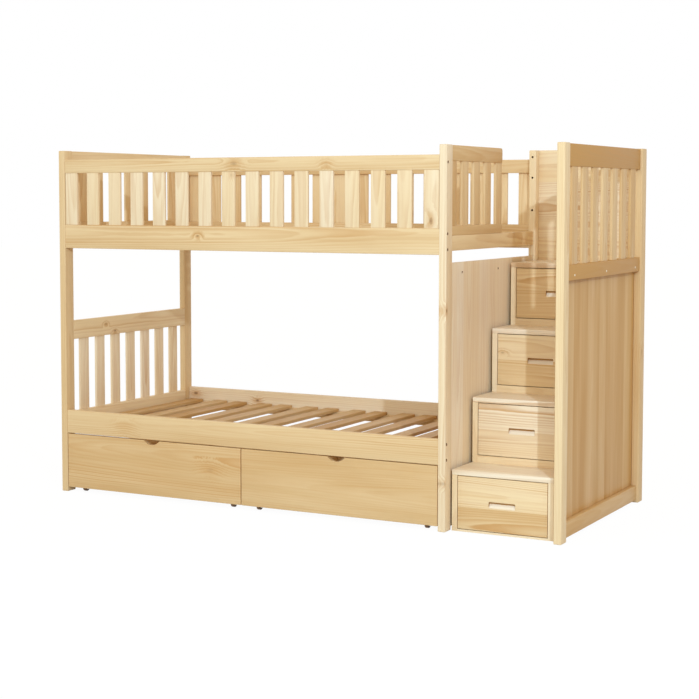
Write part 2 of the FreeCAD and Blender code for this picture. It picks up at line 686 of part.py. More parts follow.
def stair_side():
    """The stepped board at the bed's side of the stairs, cut to one outline."""
    body = new_body("stair_side_stepped")
    sketch = new_sketch(body, "YZ_Plane")
    corners = [("0", "0")]
    rough = [(0, 0)]
    for step in range(STEPS):
        back = f"{step + 1} * step_run"
        if step == STEPS - 1:
            back = f"{BACK_BOARD_FRONT} - first_step_front - frame_thickness"
        level = f"{tread_top(step)} - tread_thickness"
        corners += [(f"{step} * step_run", level), (back, level)]
        rough += [(20 * step, 30 * step + 30), (20 * step + 20, 30 * step + 30)]
    corners.append((corners[-1][0], "0"))
    rough.append((rough[-1][0], 0))
    closed_outline(sketch, rough)
    for index in range(0, len(corners), 2):
        constrain(sketch, "Vertical", index)
        constrain(sketch, "Horizontal", index + 1)
    constrain(sketch, "Coincident", 0, 1, -1, 1)
    for step in range(STEPS):
        line = 2 * step + 1
        constrain(sketch, "DistanceX", -1, 1, line, 2, 10.0, name=f"run{step}", size=corners[line + 1][0])
        constrain(sketch, "DistanceY", -1, 1, line, 2, 10.0, name=f"rise{step}", size=corners[line + 1][1])
    pad(body, sketch, "stair_side_thickness")
    place(body, STAIR_LEFT, "first_step_front + frame_thickness", "0")
    node(body)


def stair_panels():
    node(board("stair_side_panel", "Z",
               ("stair_panel_thickness", f"{BACK_BOARD_FRONT} - first_step_front", OUTER_MID_TOP),
               (STAIR_RIGHT, "first_step_front", "0")))
    back = ("stair_bay", "back_board_thickness", "post_height - base_rail_level")
    node(board("stair_back_board", "X", back, ("bed_length", BACK_BOARD_FRONT, "base_rail_level")))


def treads():
    """Each tread reaches back under the next step's frame, and the top one to the back board."""
    boards = []
    for step in range(STEPS):
        depth = "step_run + frame_thickness"
        if step == STEPS - 1:
            depth = f"{BACK_BOARD_FRONT} - {step_front(step)}"
        at = (STAIR_LEFT, step_front(step), f"{tread_top(step)} - tread_thickness")
        size = (STAIR_WIDTH, depth, "tread_thickness")
        boards.append(board(f"tread_{step + 1}", "X", size, at, "rail_ease"))
    group("stair_treads", boards)


def face_frames():
    """Two stiles and a rail in front of each drawer opening."""
    parts = []
    for step in range(STEPS):
        foot = tread_top(step - 1) if step else "0"
        height = f"({tread_top(step)} - tread_thickness - {foot})"
        size = ("frame_stile_width", "frame_thickness", height)
        right = f"{STAIR_RIGHT} - frame_stile_width"
        for side, x in (("left", STAIR_LEFT), ("right", right)):
            parts.append(board(f"stile_{step + 1}_{side}", "Z", size, (x, step_front(step), foot)))
        rail_length = f"{STAIR_WIDTH} - 2 * frame_stile_width"
        rail = (rail_length, "frame_thickness", f"{opening_foot(step)} - {foot}")
        at = (f"{STAIR_LEFT} + frame_stile_width", step_front(step), foot)
        parts.append(board(f"frame_rail_{step + 1}", "X", rail, at))
    group("stair_face_frames", parts)


def stair_strips():
    """Runners under the drawers' sides, and cleats under the treads' outer ends."""
    strips = []
    for step in range(STEPS):
        start = f"({step_front(step)} + frame_thickness)"
        length = f"({BACK_BOARD_FRONT} - {start})"
        top = f"({opening_foot(step)} + front_gap + drawer_lift - running_gap)"
        inner_left = f"({STAIR_LEFT} + stair_side_thickness)"
        reach = "frame_stile_width + drawer_inset + runner_overlap"
        left = (f"{reach} - stair_side_thickness", length, "runner_height")
        right = (reach, length, "runner_height")
        level = f"{top} - runner_height"
        strips.append(board(f"runner_{step + 1}_left", "Y", left, (inner_left, start, level)))
        strips.append(board(f"runner_{step + 1}_right", "Y", right,
                            (f"{STAIR_RIGHT} - ({reach})", start, level)))
        under = f"{tread_top(step)} - tread_thickness - cleat_width"
        span = "step_run" if step < STEPS - 1 else length
        strips.append(board(f"tread_cleat_{step + 1}", "Y", ("cleat_width", span, "cleat_width"),
                            (f"{STAIR_RIGHT} - cleat_width", start, under)))
    group("stair_runners", strips)


# Drawers and rolling boxes

def drawer_shell(label, size, at, thickness, bottom_thickness, lift):
    """Two sides and a back round a bottom panel that is let into all three. The piece's front
    edge butts against the drawer front. size is the outer (width, depth, height)."""
    width, depth, height = size
    x, y, z = at
    inner = f"({width} - 2 * {thickness})"
    parts = []
    for side, offset in (("left", "0"), ("right", f"{width} - {thickness}")):
        body = board(f"{label}_{side}", "Y", (thickness, depth, height), (f"{x} + {offset}", y, z))
        groove = new_sketch(body, "YZ_Plane", thickness if side == "left" else None)
        rectangle(groove, depth, f"{bottom_thickness} + 2 * joint_clearance", None,
                  f"{lift} - joint_clearance")
        pocket(body, groove, "drawer_groove_depth + joint_clearance", reverse=side == "right")
        parts.append(body)
    back_y = f"{y} + {depth} - {thickness}"
    parts.append(board(f"{label}_back", "X", (inner, thickness, f"{height} - {lift} - {bottom_thickness}"),
                       (f"{x} + {thickness}", back_y, f"{z} + {lift} + {bottom_thickness}")))
    bottom = (f"{inner} + 2 * drawer_groove_depth", depth, bottom_thickness)
    parts.append(board(f"{label}_bottom", "Y", bottom,
                       (f"{x} + {thickness} - drawer_groove_depth", y, f"{z} + {lift}")))
    group(label, parts)


def finger_pull(front, width, height):
    """A routed pull: a ramp that rises from its lower edge to an undercut behind the top lip."""
    sketch = new_sketch(front, "YZ_Plane", f"({width} + pull_length) / 2")
    closed_outline(sketch, ((0, 10), (13, 36), (13, 41), (6, 41), (6, 36), (0, 36)))
    constrain(sketch, "PointOnObject", 0, 1, -2)
    constrain(sketch, "Vertical", 1)
    constrain(sketch, "Horizontal", 2)
    constrain(sketch, "Vertical", 3)
    constrain(sketch, "Horizontal", 4)
    constrain(sketch, "Vertical", 5)
    for kind, where, name, size in (
            ("DistanceY", (-1, 1, 0, 1, 10.0), "foot", f"({height} - pull_height) / 2"),
            ("DistanceY", (0, 1, 5, 1, 26.0), "mouth", "pull_height"),
            ("DistanceX", (-1, 1, 1, 1, 13.0), "depth", "pull_depth"),
            ("DistanceX", (-1, 1, 4, 1, 6.0), "lip", "pull_lip"),
            ("DistanceY", (5, 1, 2, 2, 5.0), "undercut", "pull_undercut"),
            ("DistanceY", (0, 1, 1, 1, 26.0), "ramp", "pull_height")):
        constrain(sketch, kind, *where, name=name, size=size)
    pocket(front, sketch, "pull_length")


def stair_drawers():
    """One drawer per step, each as deep as the stairs are at its height."""
    for step in range(STEPS):
        name = f"drawer_{step + 1}"
        foot = f"({opening_foot(step)} + front_gap)"
        width = f"({STAIR_WIDTH} - 2 * frame_stile_width - 2 * front_gap)"
        height = f"({tread_top(step)} - tread_thickness - front_gap - {foot})"
        left = f"({STAIR_LEFT} + frame_stile_width + front_gap)"
        front = board(f"{name}_front", "X", (width, "front_thickness", height),
                      (left, step_front(step), foot))
        finger_pull(front, width, height)
        node(front)
        side_inset = "(drawer_inset - front_gap)"
        start = f"({step_front(step)} + front_thickness)"
        size = (f"({width} - 2 * {side_inset})", f"({BACK_BOARD_FRONT} - drawer_back_room - {start})",
                f"({height} - drawer_lift - drawer_headroom)")
        drawer_shell(f"{name}_box", size, (f"{left} + {side_inset}", start, f"{foot} + drawer_lift"),
                     "drawer_side_thickness", "drawer_bottom_thickness", "drawer_bottom_lift")


BOX_WIDTH = f"(({INNER_LENGTH} - 2 * box_side_gap - box_middle_gap) / 2)"


def rolling_boxes():
    """Two boxes on fixed wheels that roll out from under the lower bed."""
    for name, left in (("left", "(post_thickness + box_side_gap)"),
                       ("right", f"(post_thickness + box_side_gap + {BOX_WIDTH} + box_middle_gap)")):
        front = board(f"{name}_box_front", "X", (BOX_WIDTH, "box_front_thickness", "box_front_height"),
                      (left, FRONT_RAIL, "box_front_lift"), "front_ease")
        radius = "(box_notch_width * box_notch_width / (8 * box_notch_depth) + box_notch_depth / 2)"
        sketch = new_sketch(front, "XZ_Plane")
        circle(sketch, f"2 * {radius}", f"{BOX_WIDTH} / 2", f"box_front_height + {radius} - box_notch_depth")
        pocket(front, sketch, "box_front_thickness")
        node(front)
        start = f"({FRONT_RAIL} + box_front_thickness)"
        depth = "(box_depth - box_front_thickness)"
        size = (f"({BOX_WIDTH} - 2 * box_side_inset)", depth, "box_side_height")
        drawer_shell(f"{name}_box_shell", size, (f"{left} + box_side_inset", start, "box_bottom_level"),
                     "drawer_side_thickness", "box_bottom_thickness", "0")
        casters(name, left)


FORK_GAP = "(wheel_width + 2 * wheel_side_play)"


def casters(name, left):
    """Four fixed forks with their pins in one node, and the wheels in pairs on one axle line."""
    x = (f"{left} + wheel_inset", f"{left} + {BOX_WIDTH} - wheel_inset")
    y = (f"{FRONT_RAIL} + wheel_setback", f"{FRONT_RAIL} + box_depth - wheel_back_inset")
    forks = []
    for depth_name, wheel_y in zip(("front", "back"), y):
        wheels = []
        for side, wheel_x in zip(("left", "right"), x):
            forks.append(fork(f"{name}_box_fork_{depth_name}_{side}", wheel_x, wheel_y))
            wheels.append(wheel(f"{name}_box_wheel_{depth_name}_{side}", wheel_x, wheel_y))
        group(f"{name}_box_{depth_name}_wheels", wheels)
    group(f"{name}_box_forks", forks)


def fork(label, x, y):
    """A plate with two cheeks and the wheel's pin between them. x and y are the pin's middle."""
    body = new_body(label)
    foot = "(wheel_diameter / 2 - fork_overhang)"
    plate_foot = "(box_bottom_level - fork_thickness)"
    first = f"(fork_plate / 2 - {FORK_GAP} / 2 - fork_thickness)"
    second = f"(fork_plate / 2 + {FORK_GAP} / 2)"
    plate = new_sketch(body, "XZ_Plane")
    rectangle(plate, "fork_plate", "fork_thickness", None, plate_foot)
    pad(body, plate, "fork_width", reverse=True)
    for left in (first, second):
        cheek = new_sketch(body, "XZ_Plane")
        rectangle(cheek, "fork_thickness", f"{plate_foot} - {foot}", left, foot)
        shell = pad(body, cheek, "fork_width", reverse=True)
    corners = body.newObject("PartDesign::Chamfer", "CheekCorners")
    corners.Base = (shell, lower_cross_edges(shell))
    bind(corners, "Size", "fork_corner")
    pin = new_sketch(body, "YZ_Plane", f"{first} + fork_thickness / 2")
    circle(pin, "pin_diameter", "fork_width / 2", "wheel_diameter / 2")
    pad(body, pin, f"{FORK_GAP} + fork_thickness")
    place(body, f"{x} - fork_plate / 2", f"{y} - fork_width / 2", "0")
    return body


def lower_cross_edges(feature):
    """The short edges along X at the foot of the cheeks."""
    low = feature.Shape.BoundBox.ZMin
    found = []
    for number, edge in enumerate(feature.Shape.Edges, start=1):
        box = edge.BoundBox
        if box.ZMax < low + 0.01 and box.YLength < 0.01:
            found.append(f"Edge{number}")
    return found


def wheel(label, x, y):
    """A small solid wheel turned about the X axis, with a bore for its pin."""
    body = new_body(label)
    sketch = new_sketch(body, "XZ_Plane")
    closed_outline(sketch, ((-8, 3), (8, 3), (8, 18), (-8, 18)))
    constrain(sketch, "Vertical", 1)
    for left_end, right_end in (((0, 1), (0, 2)), ((2, 2), (2, 1))):
        constrain(sketch, "Symmetric", *left_end, *right_end, -2)
    for kind, where, name, size in (
            ("DistanceX", (0, 1, 0, 2, 16.0), "width", "wheel_width"),
            ("DistanceY", (-1, 1, 0, 1, 3.0), "bore", "pin_diameter / 2 + wheel_clearance"),
            ("DistanceY", (-1, 1, 2, 1, 18.0), "tread", "wheel_diameter / 2")):
        constrain(sketch, kind, *where, name=name, size=size)
    turned = body.newObject("PartDesign::Revolution", "Turned")
    turned.Profile = sketch
    turned.ReferenceAxis = (origin_feature(body, "X_Axis"), [""])
    turned.Angle = 360
    doc.recompute()
    place(body, x, y, "wheel_diameter / 2")
    return body


def check_and_export():
    doc.recompute()
    for thing in doc.Objects:
        if "Invalid" in thing.State or "Error" in thing.State:
            raise ValueError(f"{thing.Label} failed: {thing.State}")
    for thing in nodes:
        if thing.Shape.isNull() or not thing.Shape.isValid() or not thing.Shape.Solids:
            raise ValueError(f"{thing.Label} has no valid solid")
    os.makedirs("parts", exist_ok=True)
    for thing in nodes:
        thing.Shape.exportStep(f"parts/{thing.Label}.step")
    print(len(nodes), "sub-parts,", sum(len(thing.Shape.Solids) for thing in nodes), "solids")


fill_sheet()
all_posts()
long_guard("front", FRONT_RAIL, f"{FRONT_RAIL} + slat_setback", "slat_setback")
BACK_SETBACK = "(rail_thickness - slat_setback - slat_thickness)"
long_guard("back", BACK_RAIL, f"{BACK_RAIL} + {BACK_SETBACK}", BACK_SETBACK)
node(long_rail("lower_front_side_rail", FRONT_RAIL, "lower_rail_level", "side_rail_height"))
node(long_rail("lower_back_side_rail", BACK_RAIL, "lower_rail_level", "side_rail_height"))
plain_end()
stair_end()
outer_end()
group("bed_slat_cleats", bed_base("upper", "upper_rail_level") + bed_base("lower", "lower_rail_level"))
stair_side()
stair_panels()
treads()
face_frames()
stair_strips()
stair_drawers()
rolling_boxes()
check_and_export()
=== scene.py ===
"""A pine bunk bed with storage stairs: boards, drawers, rolling boxes, wheels and the stage."""

import json
import math
import random

import bmesh
import bpy
from bpy.props import FloatProperty, FloatVectorProperty, PointerProperty
from mathutils import Matrix, Vector


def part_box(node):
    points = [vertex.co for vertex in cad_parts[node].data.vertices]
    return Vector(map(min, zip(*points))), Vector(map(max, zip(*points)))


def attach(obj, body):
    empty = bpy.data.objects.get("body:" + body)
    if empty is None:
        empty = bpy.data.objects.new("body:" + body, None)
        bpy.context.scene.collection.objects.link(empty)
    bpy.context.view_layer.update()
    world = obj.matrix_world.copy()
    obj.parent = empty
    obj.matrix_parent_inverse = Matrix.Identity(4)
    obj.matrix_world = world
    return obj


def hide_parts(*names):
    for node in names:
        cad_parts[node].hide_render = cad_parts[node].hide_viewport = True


bl_info = {
    "name": "Bunk bed with storage stairs",
    "version": (1, 0, 0),
    "blender": (4, 5, 0),
    "location": "View3D > Sidebar > Bunk bed",
    "description": "Dresses the bed's frame in lacquered pine and sets it on a plain stage",
    "category": "Object",
}

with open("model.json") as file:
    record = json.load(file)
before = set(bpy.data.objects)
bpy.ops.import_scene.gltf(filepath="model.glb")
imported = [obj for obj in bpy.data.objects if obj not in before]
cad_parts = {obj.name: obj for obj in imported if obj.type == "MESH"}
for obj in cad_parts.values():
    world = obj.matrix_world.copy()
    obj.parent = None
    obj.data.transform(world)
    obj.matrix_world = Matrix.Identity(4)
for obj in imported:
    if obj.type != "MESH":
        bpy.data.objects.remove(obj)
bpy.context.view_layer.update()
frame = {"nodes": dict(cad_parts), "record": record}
BODY_OF = {node: body for body, nodes in frame["record"]["behaviour"]["bodies"].items() for node in nodes}

MM = 0.001
FRONT = (-0.35, -0.93, 0.1)  # the way to the bright part of the sky
BACK_SKY = 0.45  # how far the sky behind comes up to the one in front
FLOOR_GLOW = 0.93  # the share of the floor that the camera sees as plain white
PHOTO_SIZE = 699  # pixels, across and down
PHOTO_FOCUS = 1594.06  # pixels
PHOTO_CENTRE = (313.39, 308.40)  # pixel that the optical axis meets
HALF_DEPTH = 0.542
PANEL_HOLES = (187, 588, 989)  # mm from the posts' front
PANEL_HOLE_HEIGHT = 1.084
PANEL_HOLE = 11 * MM
SPARE_HOLE_DROPS = (32, 128, 280)  # mm from the post's top
BOLT_INSET = 22 * MM  # from the edges of a deep rail
SEAT_CUT = 28 * MM
HEAD_DEPTH = 11.5 * MM
SCREW_CAPS = (108, 511, 914)  # mm from the rail's front end
CAP_HEIGHT = 21 * MM
CAP_CORNER = 14 * MM
NOTCH_WIDTH, NOTCH_DEPTH = 86, 20  # mm
RAMP_SHARE = 0.64  # how far up a pull its floor is at full depth
AXES = {"X": Vector((1, 0, 0)), "Y": Vector((0, 1, 0)), "Z": Vector((0, 0, 1))}


# Sizes and colours

class BedSizes(bpy.types.PropertyGroup):
    """Roundings and small forms that the boards get"""
    post_round: FloatProperty(name="Post rounding", description="Radius of the posts' edges",
                              default=3.5 * MM, unit="LENGTH", precision=4)
    rail_round: FloatProperty(name="Rail rounding", description="Radius of the rails' edges",
                              default=2.5 * MM, unit="LENGTH", precision=4)
    slat_round: FloatProperty(name="Slat rounding", description="Radius of the slats' edges",
                              default=1.5 * MM, unit="LENGTH", precision=4)
    board_round: FloatProperty(name="Board rounding", description="Radius of other boards' edges",
                               default=0.8 * MM, unit="LENGTH", precision=4)
    stave_width: FloatProperty(name="Stave width", description="Width of the staves glued into a panel",
                               default=82 * MM, unit="LENGTH", precision=4)
    pull_length: FloatProperty(name="Pull length", description="Routed finger pull of a drawer",
                               default=118 * MM, unit="LENGTH", precision=4)
    pull_height: FloatProperty(name="Pull height", description="Routed finger pull of a drawer",
                               default=26 * MM, unit="LENGTH", precision=4)
    pull_depth: FloatProperty(name="Pull depth", description="Deepest point of the pull's ramp",
                              default=13 * MM, unit="LENGTH", precision=4)
    box_front_rise: FloatProperty(name="Box front rise", description="How far a box front covers its gap",
                                  default=5 * MM, unit="LENGTH", precision=4)
    bolt_head: FloatProperty(name="Bolt head", description="Diameter of the bolt heads in the posts",
                             default=10 * MM, unit="LENGTH", precision=4)
    bolt_seat: FloatProperty(name="Bolt seat", description="Diameter of the counterbores in the posts",
                             default=13 * MM, unit="LENGTH", precision=4)
    spare_hole: FloatProperty(name="Spare hole", description="Diameter of the half guard's spare holes",
                              default=10 * MM, unit="LENGTH", precision=4)


def colour_property(name, description, default):
    return FloatVectorProperty(name=name, description=description, default=default,
                               subtype="COLOR", size=3, min=0, max=1)


class WoodLook(bpy.types.PropertyGroup):
    """Colours and grain of the pine"""
    pale: colour_property("Sapwood", "Tone of the palest boards", (0.94, 0.82, 0.63))
    early: colour_property("Common wood", "Tone of most boards", (0.86, 0.66, 0.38))
    heart: colour_property("Heartwood", "Tone of the darker boards", (0.55, 0.295, 0.08))
    late: colour_property("Ring lines", "Late wood, streaks and the rims of knots", (0.60, 0.315, 0.10))
    # The knot colour is also the painted shade in bore walls and at the back of the drawer pulls.
    knot: colour_property("Knot", "Middle of the knots", (0.19, 0.075, 0.025))
    ring_width: FloatProperty(name="Ring width", description="Mean distance between rings",
                              default=9.0 * MM, unit="LENGTH", precision=4)
    ring_strength: FloatProperty(name="Ring strength", description="How dark the ring lines are",
                                 default=0.68, min=0, max=1, subtype="FACTOR")


class FittingLook(bpy.types.PropertyGroup):
    """Colours of the metal and plastic fittings"""
    zinc: colour_property("Zinc", "Plated forks and bolts", (0.55, 0.55, 0.53))
    wheel: colour_property("Wheel", "Moulded wheels", (0.20, 0.09, 0.03))
    cap: colour_property("Screw cap", "Caps of the screws in the outer rail", (0.82, 0.74, 0.58))


class StageLook(bpy.types.PropertyGroup):
    """Floor, backdrop and light"""
    floor: colour_property("Floor", "Pale floor", (0.62, 0.61, 0.60))
    key_power: FloatProperty(name="Key lamp", description="Power of the lamp at the right",
                             default=263, unit="POWER")
    key_tint: colour_property("Key tint", "Colour of the lamp at the right", (0.61, 0.79, 1.0))
    front_light: FloatProperty(name="Front light", description="Strength of the sky in front",
                               default=1.41, min=0, max=4)
    front_tint: colour_property("Front tint", "Colour of the sky in front", (0.95, 1.0, 0.98))
    side_light: FloatProperty(name="Side light", description="Strength of the sky at the sides",
                              default=0.54, min=0, max=4)
    side_tint: colour_property("Side tint", "Colour of the sky at the sides", (1.0, 0.75, 0.47))


# Shader graphs

class Value:
    """A socket of a shader graph. Arithmetic on it adds Math nodes."""

    def __init__(self, graph, socket):
        self.graph = graph
        self.socket = socket

    def math(self, operation, *others):
        return self.graph.add("ShaderNodeMath", {"operation": operation}, [self, *others])

    def __add__(self, other):
        return self.math("ADD", other)

    def __mul__(self, other):
        return self.math("MULTIPLY", other)

    def __sub__(self, other):
        return self.math("SUBTRACT", other)

    def __rsub__(self, other):
        return (self * -1) + other

    def __truediv__(self, other):
        return self.math("DIVIDE", other)

    __radd__ = __add__
    __rmul__ = __mul__


class Graph:
    """Builds the node tree of a material or a world."""

    def __init__(self, owner):
        owner.use_nodes = True
        self.tree = owner.node_tree
        self.tree.nodes.clear()

    def add(self, kind, settings=None, inputs=(), output=0):
        """Adds a node. inputs is a list, or a dict by socket name or number."""
        node = self.tree.nodes.new(kind)
        for key, value in (settings or {}).items():
            setattr(node, key, value)
        pairs = inputs.items() if isinstance(inputs, dict) else enumerate(inputs)
        for key, value in pairs:
            if isinstance(value, Value):
                self.tree.links.new(value.socket, node.inputs[key])
            elif value is not None:
                node.inputs[key].default_value = value
        return Value(self, node.outputs[output]) if node.outputs else node

    def parts(self, vector):
        """A vector's three components."""
        return [self.add("ShaderNodeSeparateXYZ", None, [vector], index) for index in range(3)]

    def vector(self, x, y, z):
        return self.add("ShaderNodeCombineXYZ", None, [x, y, z])

    def attribute(self, name):
        """The vector that a mesh attribute holds."""
        return self.add("ShaderNodeAttribute", {"attribute_name": name}, output=1)

    def place(self):
        """The point in the object's own coordinates."""
        return self.add("ShaderNodeTexCoord", output=3)

    def stretch(self, vector, scale):
        return self.add("ShaderNodeVectorMath", {"operation": "MULTIPLY"}, [vector, scale])

    def noise(self, vector, detail=2.0, roughness=0.5):
        return self.add("ShaderNodeTexNoise", {"noise_dimensions": "3D"},
                        {"Vector": vector, "Scale": 1.0, "Detail": detail, "Roughness": roughness})

    def ramp(self, value, low, high, start=0.0, end=1.0, soft=True):
        """value from low..high mapped to start..end, held beyond both."""
        kind = "SMOOTHSTEP" if soft else "LINEAR"
        return self.add("ShaderNodeMapRange", {"interpolation_type": kind, "clamp": True},
                        [value, low, high, start, end])

    def mix(self, factor, first, second):
        settings = {"data_type": "RGBA", "blend_type": "MIX", "clamp_factor": True}
        return self.add("ShaderNodeMix", settings, {0: factor, 6: first, 7: second}, 2)

    def unlit_rays(self):
        """1 where a ray comes straight from the camera, a reflection or clear material."""
        camera, glossy, clear = [self.add("ShaderNodeLightPath", output=name) for name in
                                 ("Is Camera Ray", "Is Glossy Ray", "Is Transmission Ray")]
        return camera.math("MAXIMUM", glossy).math("MAXIMUM", clear)


def new_material(name):
    old = bpy.data.materials.get(name)
    if old:
        bpy.data.materials.remove(old)
    return bpy.data.materials.new(name)


def paint(colour):
    return (*colour, 1.0)


def pine():
    """Lacquered pine. "grain" holds each board's place in its log: x and y count from the pith
    and z runs along the trunk. The first knot attribute and "second_knot" hold the way from the board's
    knots;
    the first also marks bore walls and pull recesses, which get a knot's dark middle as painted shade."""
    look = bpy.context.scene.wood_look
    graph = Graph(new_material("Pine"))
    log = graph.attribute("grain")
    x, y, z = graph.parts(log)
    tone, end, figure = graph.parts(graph.attribute("board"))

    wobble = graph.noise(graph.stretch(log, (90.0, 90.0, 90.0)), 1.0)
    swirl, knot_halo_and_shade, knot_core_and_shade = knot_marks(graph, "knot", wobble)
    for mark, more in zip((swirl, knot_halo_and_shade, knot_core_and_shade), knot_marks(graph, "second_knot", wobble)):
        mark.socket = (mark + more).socket

    sway = graph.noise(graph.stretch(log, (7.0, 7.0, 1.1)), 2.0, 0.45)
    sway_too = graph.noise(graph.stretch(graph.vector(y, z, x), (7.0, 1.1, 7.0)), 2.0, 0.45)
    ripple = graph.noise(graph.stretch(log, (30.0, 30.0, 7.0)), 2.0, 0.5)
    bent_x = x + (sway - 0.5) * 0.026 + (ripple - 0.5) * 0.005
    bent_y = y + (sway_too - 0.5) * 0.026
    radius = (bent_x * bent_x + bent_y * bent_y).math("SQRT") + swirl
    drift = graph.noise(graph.vector(radius * 45.0, 3.7, 1.9), 1.0)
    rings = radius / look.ring_width + drift * 2.6
    turn = rings.math("FRACT")
    line = graph.ramp(turn, 0.1, 0.84) * graph.ramp(turn, 0.86, 1.0, 1.0, 0.0)
    strength = graph.add("ShaderNodeTexWhiteNoise", {"noise_dimensions": "1D"},
                         {"W": rings.math("FLOOR")})
    bold = graph.noise(graph.stretch(log, (9.0, 9.0, 1.3)), 1.0)
    strength = (strength * strength * 0.7 + 0.3) * graph.ramp(bold, 0.36, 0.62, 0.35, 1.0)
    strength = (strength + swirl * 45.0) * figure

    cloud = graph.noise(graph.stretch(log, (11.0, 11.0, 0.9)), 3.0, 0.55)
    streak = graph.noise(graph.stretch(log, (150.0, 150.0, 2.0)), 2.0, 0.6)
    fibre = graph.noise(graph.stretch(log, (1100.0, 1100.0, 16.0)), 2.0, 0.6)

    shade = tone + (cloud - 0.5) * 0.9
    colour = graph.mix(graph.ramp(shade, -1.0, 0.0, soft=False), paint(look.pale), paint(look.early))
    colour = graph.mix(graph.ramp(shade, 0.0, 1.0, soft=False), colour, paint(look.heart))
    depth = line * strength * look.ring_strength * (end * 0.6 + 1.0)
    colour = graph.mix(depth, colour, paint(look.late))
    colour = graph.mix(graph.ramp(streak, 0.45, 0.85, 0.0, 0.26), colour, paint(look.late))
    colour = graph.mix(graph.ramp(fibre, 0.55, 0.8, 0.0, 0.12), colour, paint(look.late))
    colour = graph.mix(end * 0.3, colour, paint(look.late))
    # Knot halos and middles. Bore walls and pull recesses marked in the first knot attribute get them as
    # painted shade.
    colour = graph.mix(knot_halo_and_shade, colour, paint(look.late))
    colour = graph.mix(knot_core_and_shade, colour, paint(look.knot))

    height = fibre * 0.35 + line * 0.5 + knot_core_and_shade * -0.6
    bump = graph.add("ShaderNodeBump", None, {"Strength": 0.22, "Distance": 0.0004, "Height": height})
    shader = graph.add("ShaderNodeBsdfPrincipled", None, {
        "Base Color": colour,
        "Roughness": 0.5 + (fibre - 0.5) * 0.16 + line * 0.06,
        "Normal": bump,
        "Specular IOR Level": 0.32,
        "Coat Weight": 0.06,
        "Coat Roughness": 0.3,
    })
    graph.add("ShaderNodeOutputMaterial", None, [shader])


def knot_marks(graph, name, wobble):
    """How far a knot bends the rings, browns the wood round it and darkens its own middle. Bore walls and
    pull recesses, marked at no distance from a knot, get the brown and the dark middle as painted shade.
    """
    along, across, darkness = graph.parts(graph.attribute(name))
    along = along * 0.55
    distance = (along * along + across * across).math("SQRT") * ((wobble - 0.5) * 0.5 + 1.0)
    swirl = graph.ramp(distance, 0.0, 0.036, 0.013, 0.0)
    knot_halo_and_shade = graph.ramp(distance, 0.004, 0.022, 0.55, 0.0) * (darkness * 0.7 + 0.3)
    eye = graph.ramp((distance * 1300.0).math("SINE"), -1.0, 1.0, 0.55, 1.0)
    return swirl, knot_halo_and_shade, graph.ramp(distance, 0.0040, 0.0064, 1.0, 0.0) * eye * darkness


def zinc():
    """Plated steel with the faint clouding of zinc."""
    look = bpy.context.scene.fitting_look
    graph = Graph(new_material("Zinc plate"))
    place = graph.place()
    cloud = graph.noise(graph.stretch(place, (420.0, 420.0, 420.0)), 3.0, 0.6)
    colour = graph.mix(graph.ramp(cloud, 0.3, 0.7), paint(look.zinc), paint([c * 0.72 for c in look.zinc]))
    shader = graph.add("ShaderNodeBsdfPrincipled", None, {
        "Base Color": colour, "Metallic": 1.0, "Roughness": 0.3 + cloud * 0.2})
    graph.add("ShaderNodeOutputMaterial", None, [shader])


def moulded(name, tint, roughness):
    """Moulded plastic with a fine spark-eroded texture."""
    graph = Graph(new_material(name))
    place = graph.place()
    speck = graph.noise(graph.stretch(place, (2600.0, 2600.0, 2600.0)), 2.0)
    scuff = graph.noise(graph.stretch(place, (160.0, 160.0, 160.0)), 3.0, 0.65)
    paler = paint([min(1.0, c * 1.25 + 0.01) for c in tint])
    colour = graph.mix(graph.ramp(scuff, 0.45, 0.8), paint(tint), paler)
    bump = graph.add("ShaderNodeBump", None, {"Strength": 0.15, "Distance": 0.0001, "Height": speck})
    shader = graph.add("ShaderNodeBsdfPrincipled", None, {
        "Base Color": colour, "Roughness": roughness + scuff * 0.15, "Normal": bump})
    graph.add("ShaderNodeOutputMaterial", None, [shader])


# Boards

def loose_parts(node):
    """The points of each separate solid of a CAD node, in order of height, depth and width."""
    whole = bmesh.new()
    whole.from_mesh(frame["nodes"][node].data)
    bmesh.ops.remove_doubles(whole, verts=whole.verts, dist=1e-6)
    left = set(whole.verts)
    groups = []
    while left:
        reached = [left.pop()]
        group = set(reached)
        while reached:
            for link in reached.pop().link_edges:
                for vert in link.verts:
                    if vert in left:
                        left.discard(vert)
                        group.add(vert)
                        reached.append(vert)
        groups.append([vert.co.copy() for vert in group])
    whole.free()
    return sorted(groups, key=lambda points: [round(sum(p[i] for p in points) / len(points), 4)
                                              for i in (2, 1, 0)])


def extent(points):
    low = Vector([min(p[i] for p in points) for i in range(3)])
    high = Vector([max(p[i] for p in points) for i in range(3)])
    return low, high


def longest(low, high):
    size = high - low
    return "XYZ"[max(range(3), key=lambda i: size[i])]


def shoulders(points, axis):
    """A board's box without the tenons at its ends, which its mortises hide."""
    low, high = extent(points)
    along = "XYZ".index(axis)
    side = (along + 1) % 3
    reach = [p[along] for p in points if abs(p[side] - low[side]) < 1e-5]
    low[along] = min(reach)
    high[along] = max(reach)
    return low, high


def round_edges(bm, edges, size, segments=3):
    bmesh.ops.bevel(bm, geom=edges, offset=size, offset_type="OFFSET", segments=segments, profile=0.5,
                    affect="EDGES", material=-1, clamp_overlap=True)


def block(low, high, ease, segments=3):
    """A board with rounded edges."""
    bm = bmesh.new()
    made = bmesh.ops.create_cube(bm, size=1.0)["verts"]
    bmesh.ops.scale(bm, vec=high - low, verts=made)
    bmesh.ops.translate(bm, vec=(low + high) / 2, verts=made)
    if ease:
        round_edges(bm, bm.edges[:], ease, segments)
    return bm


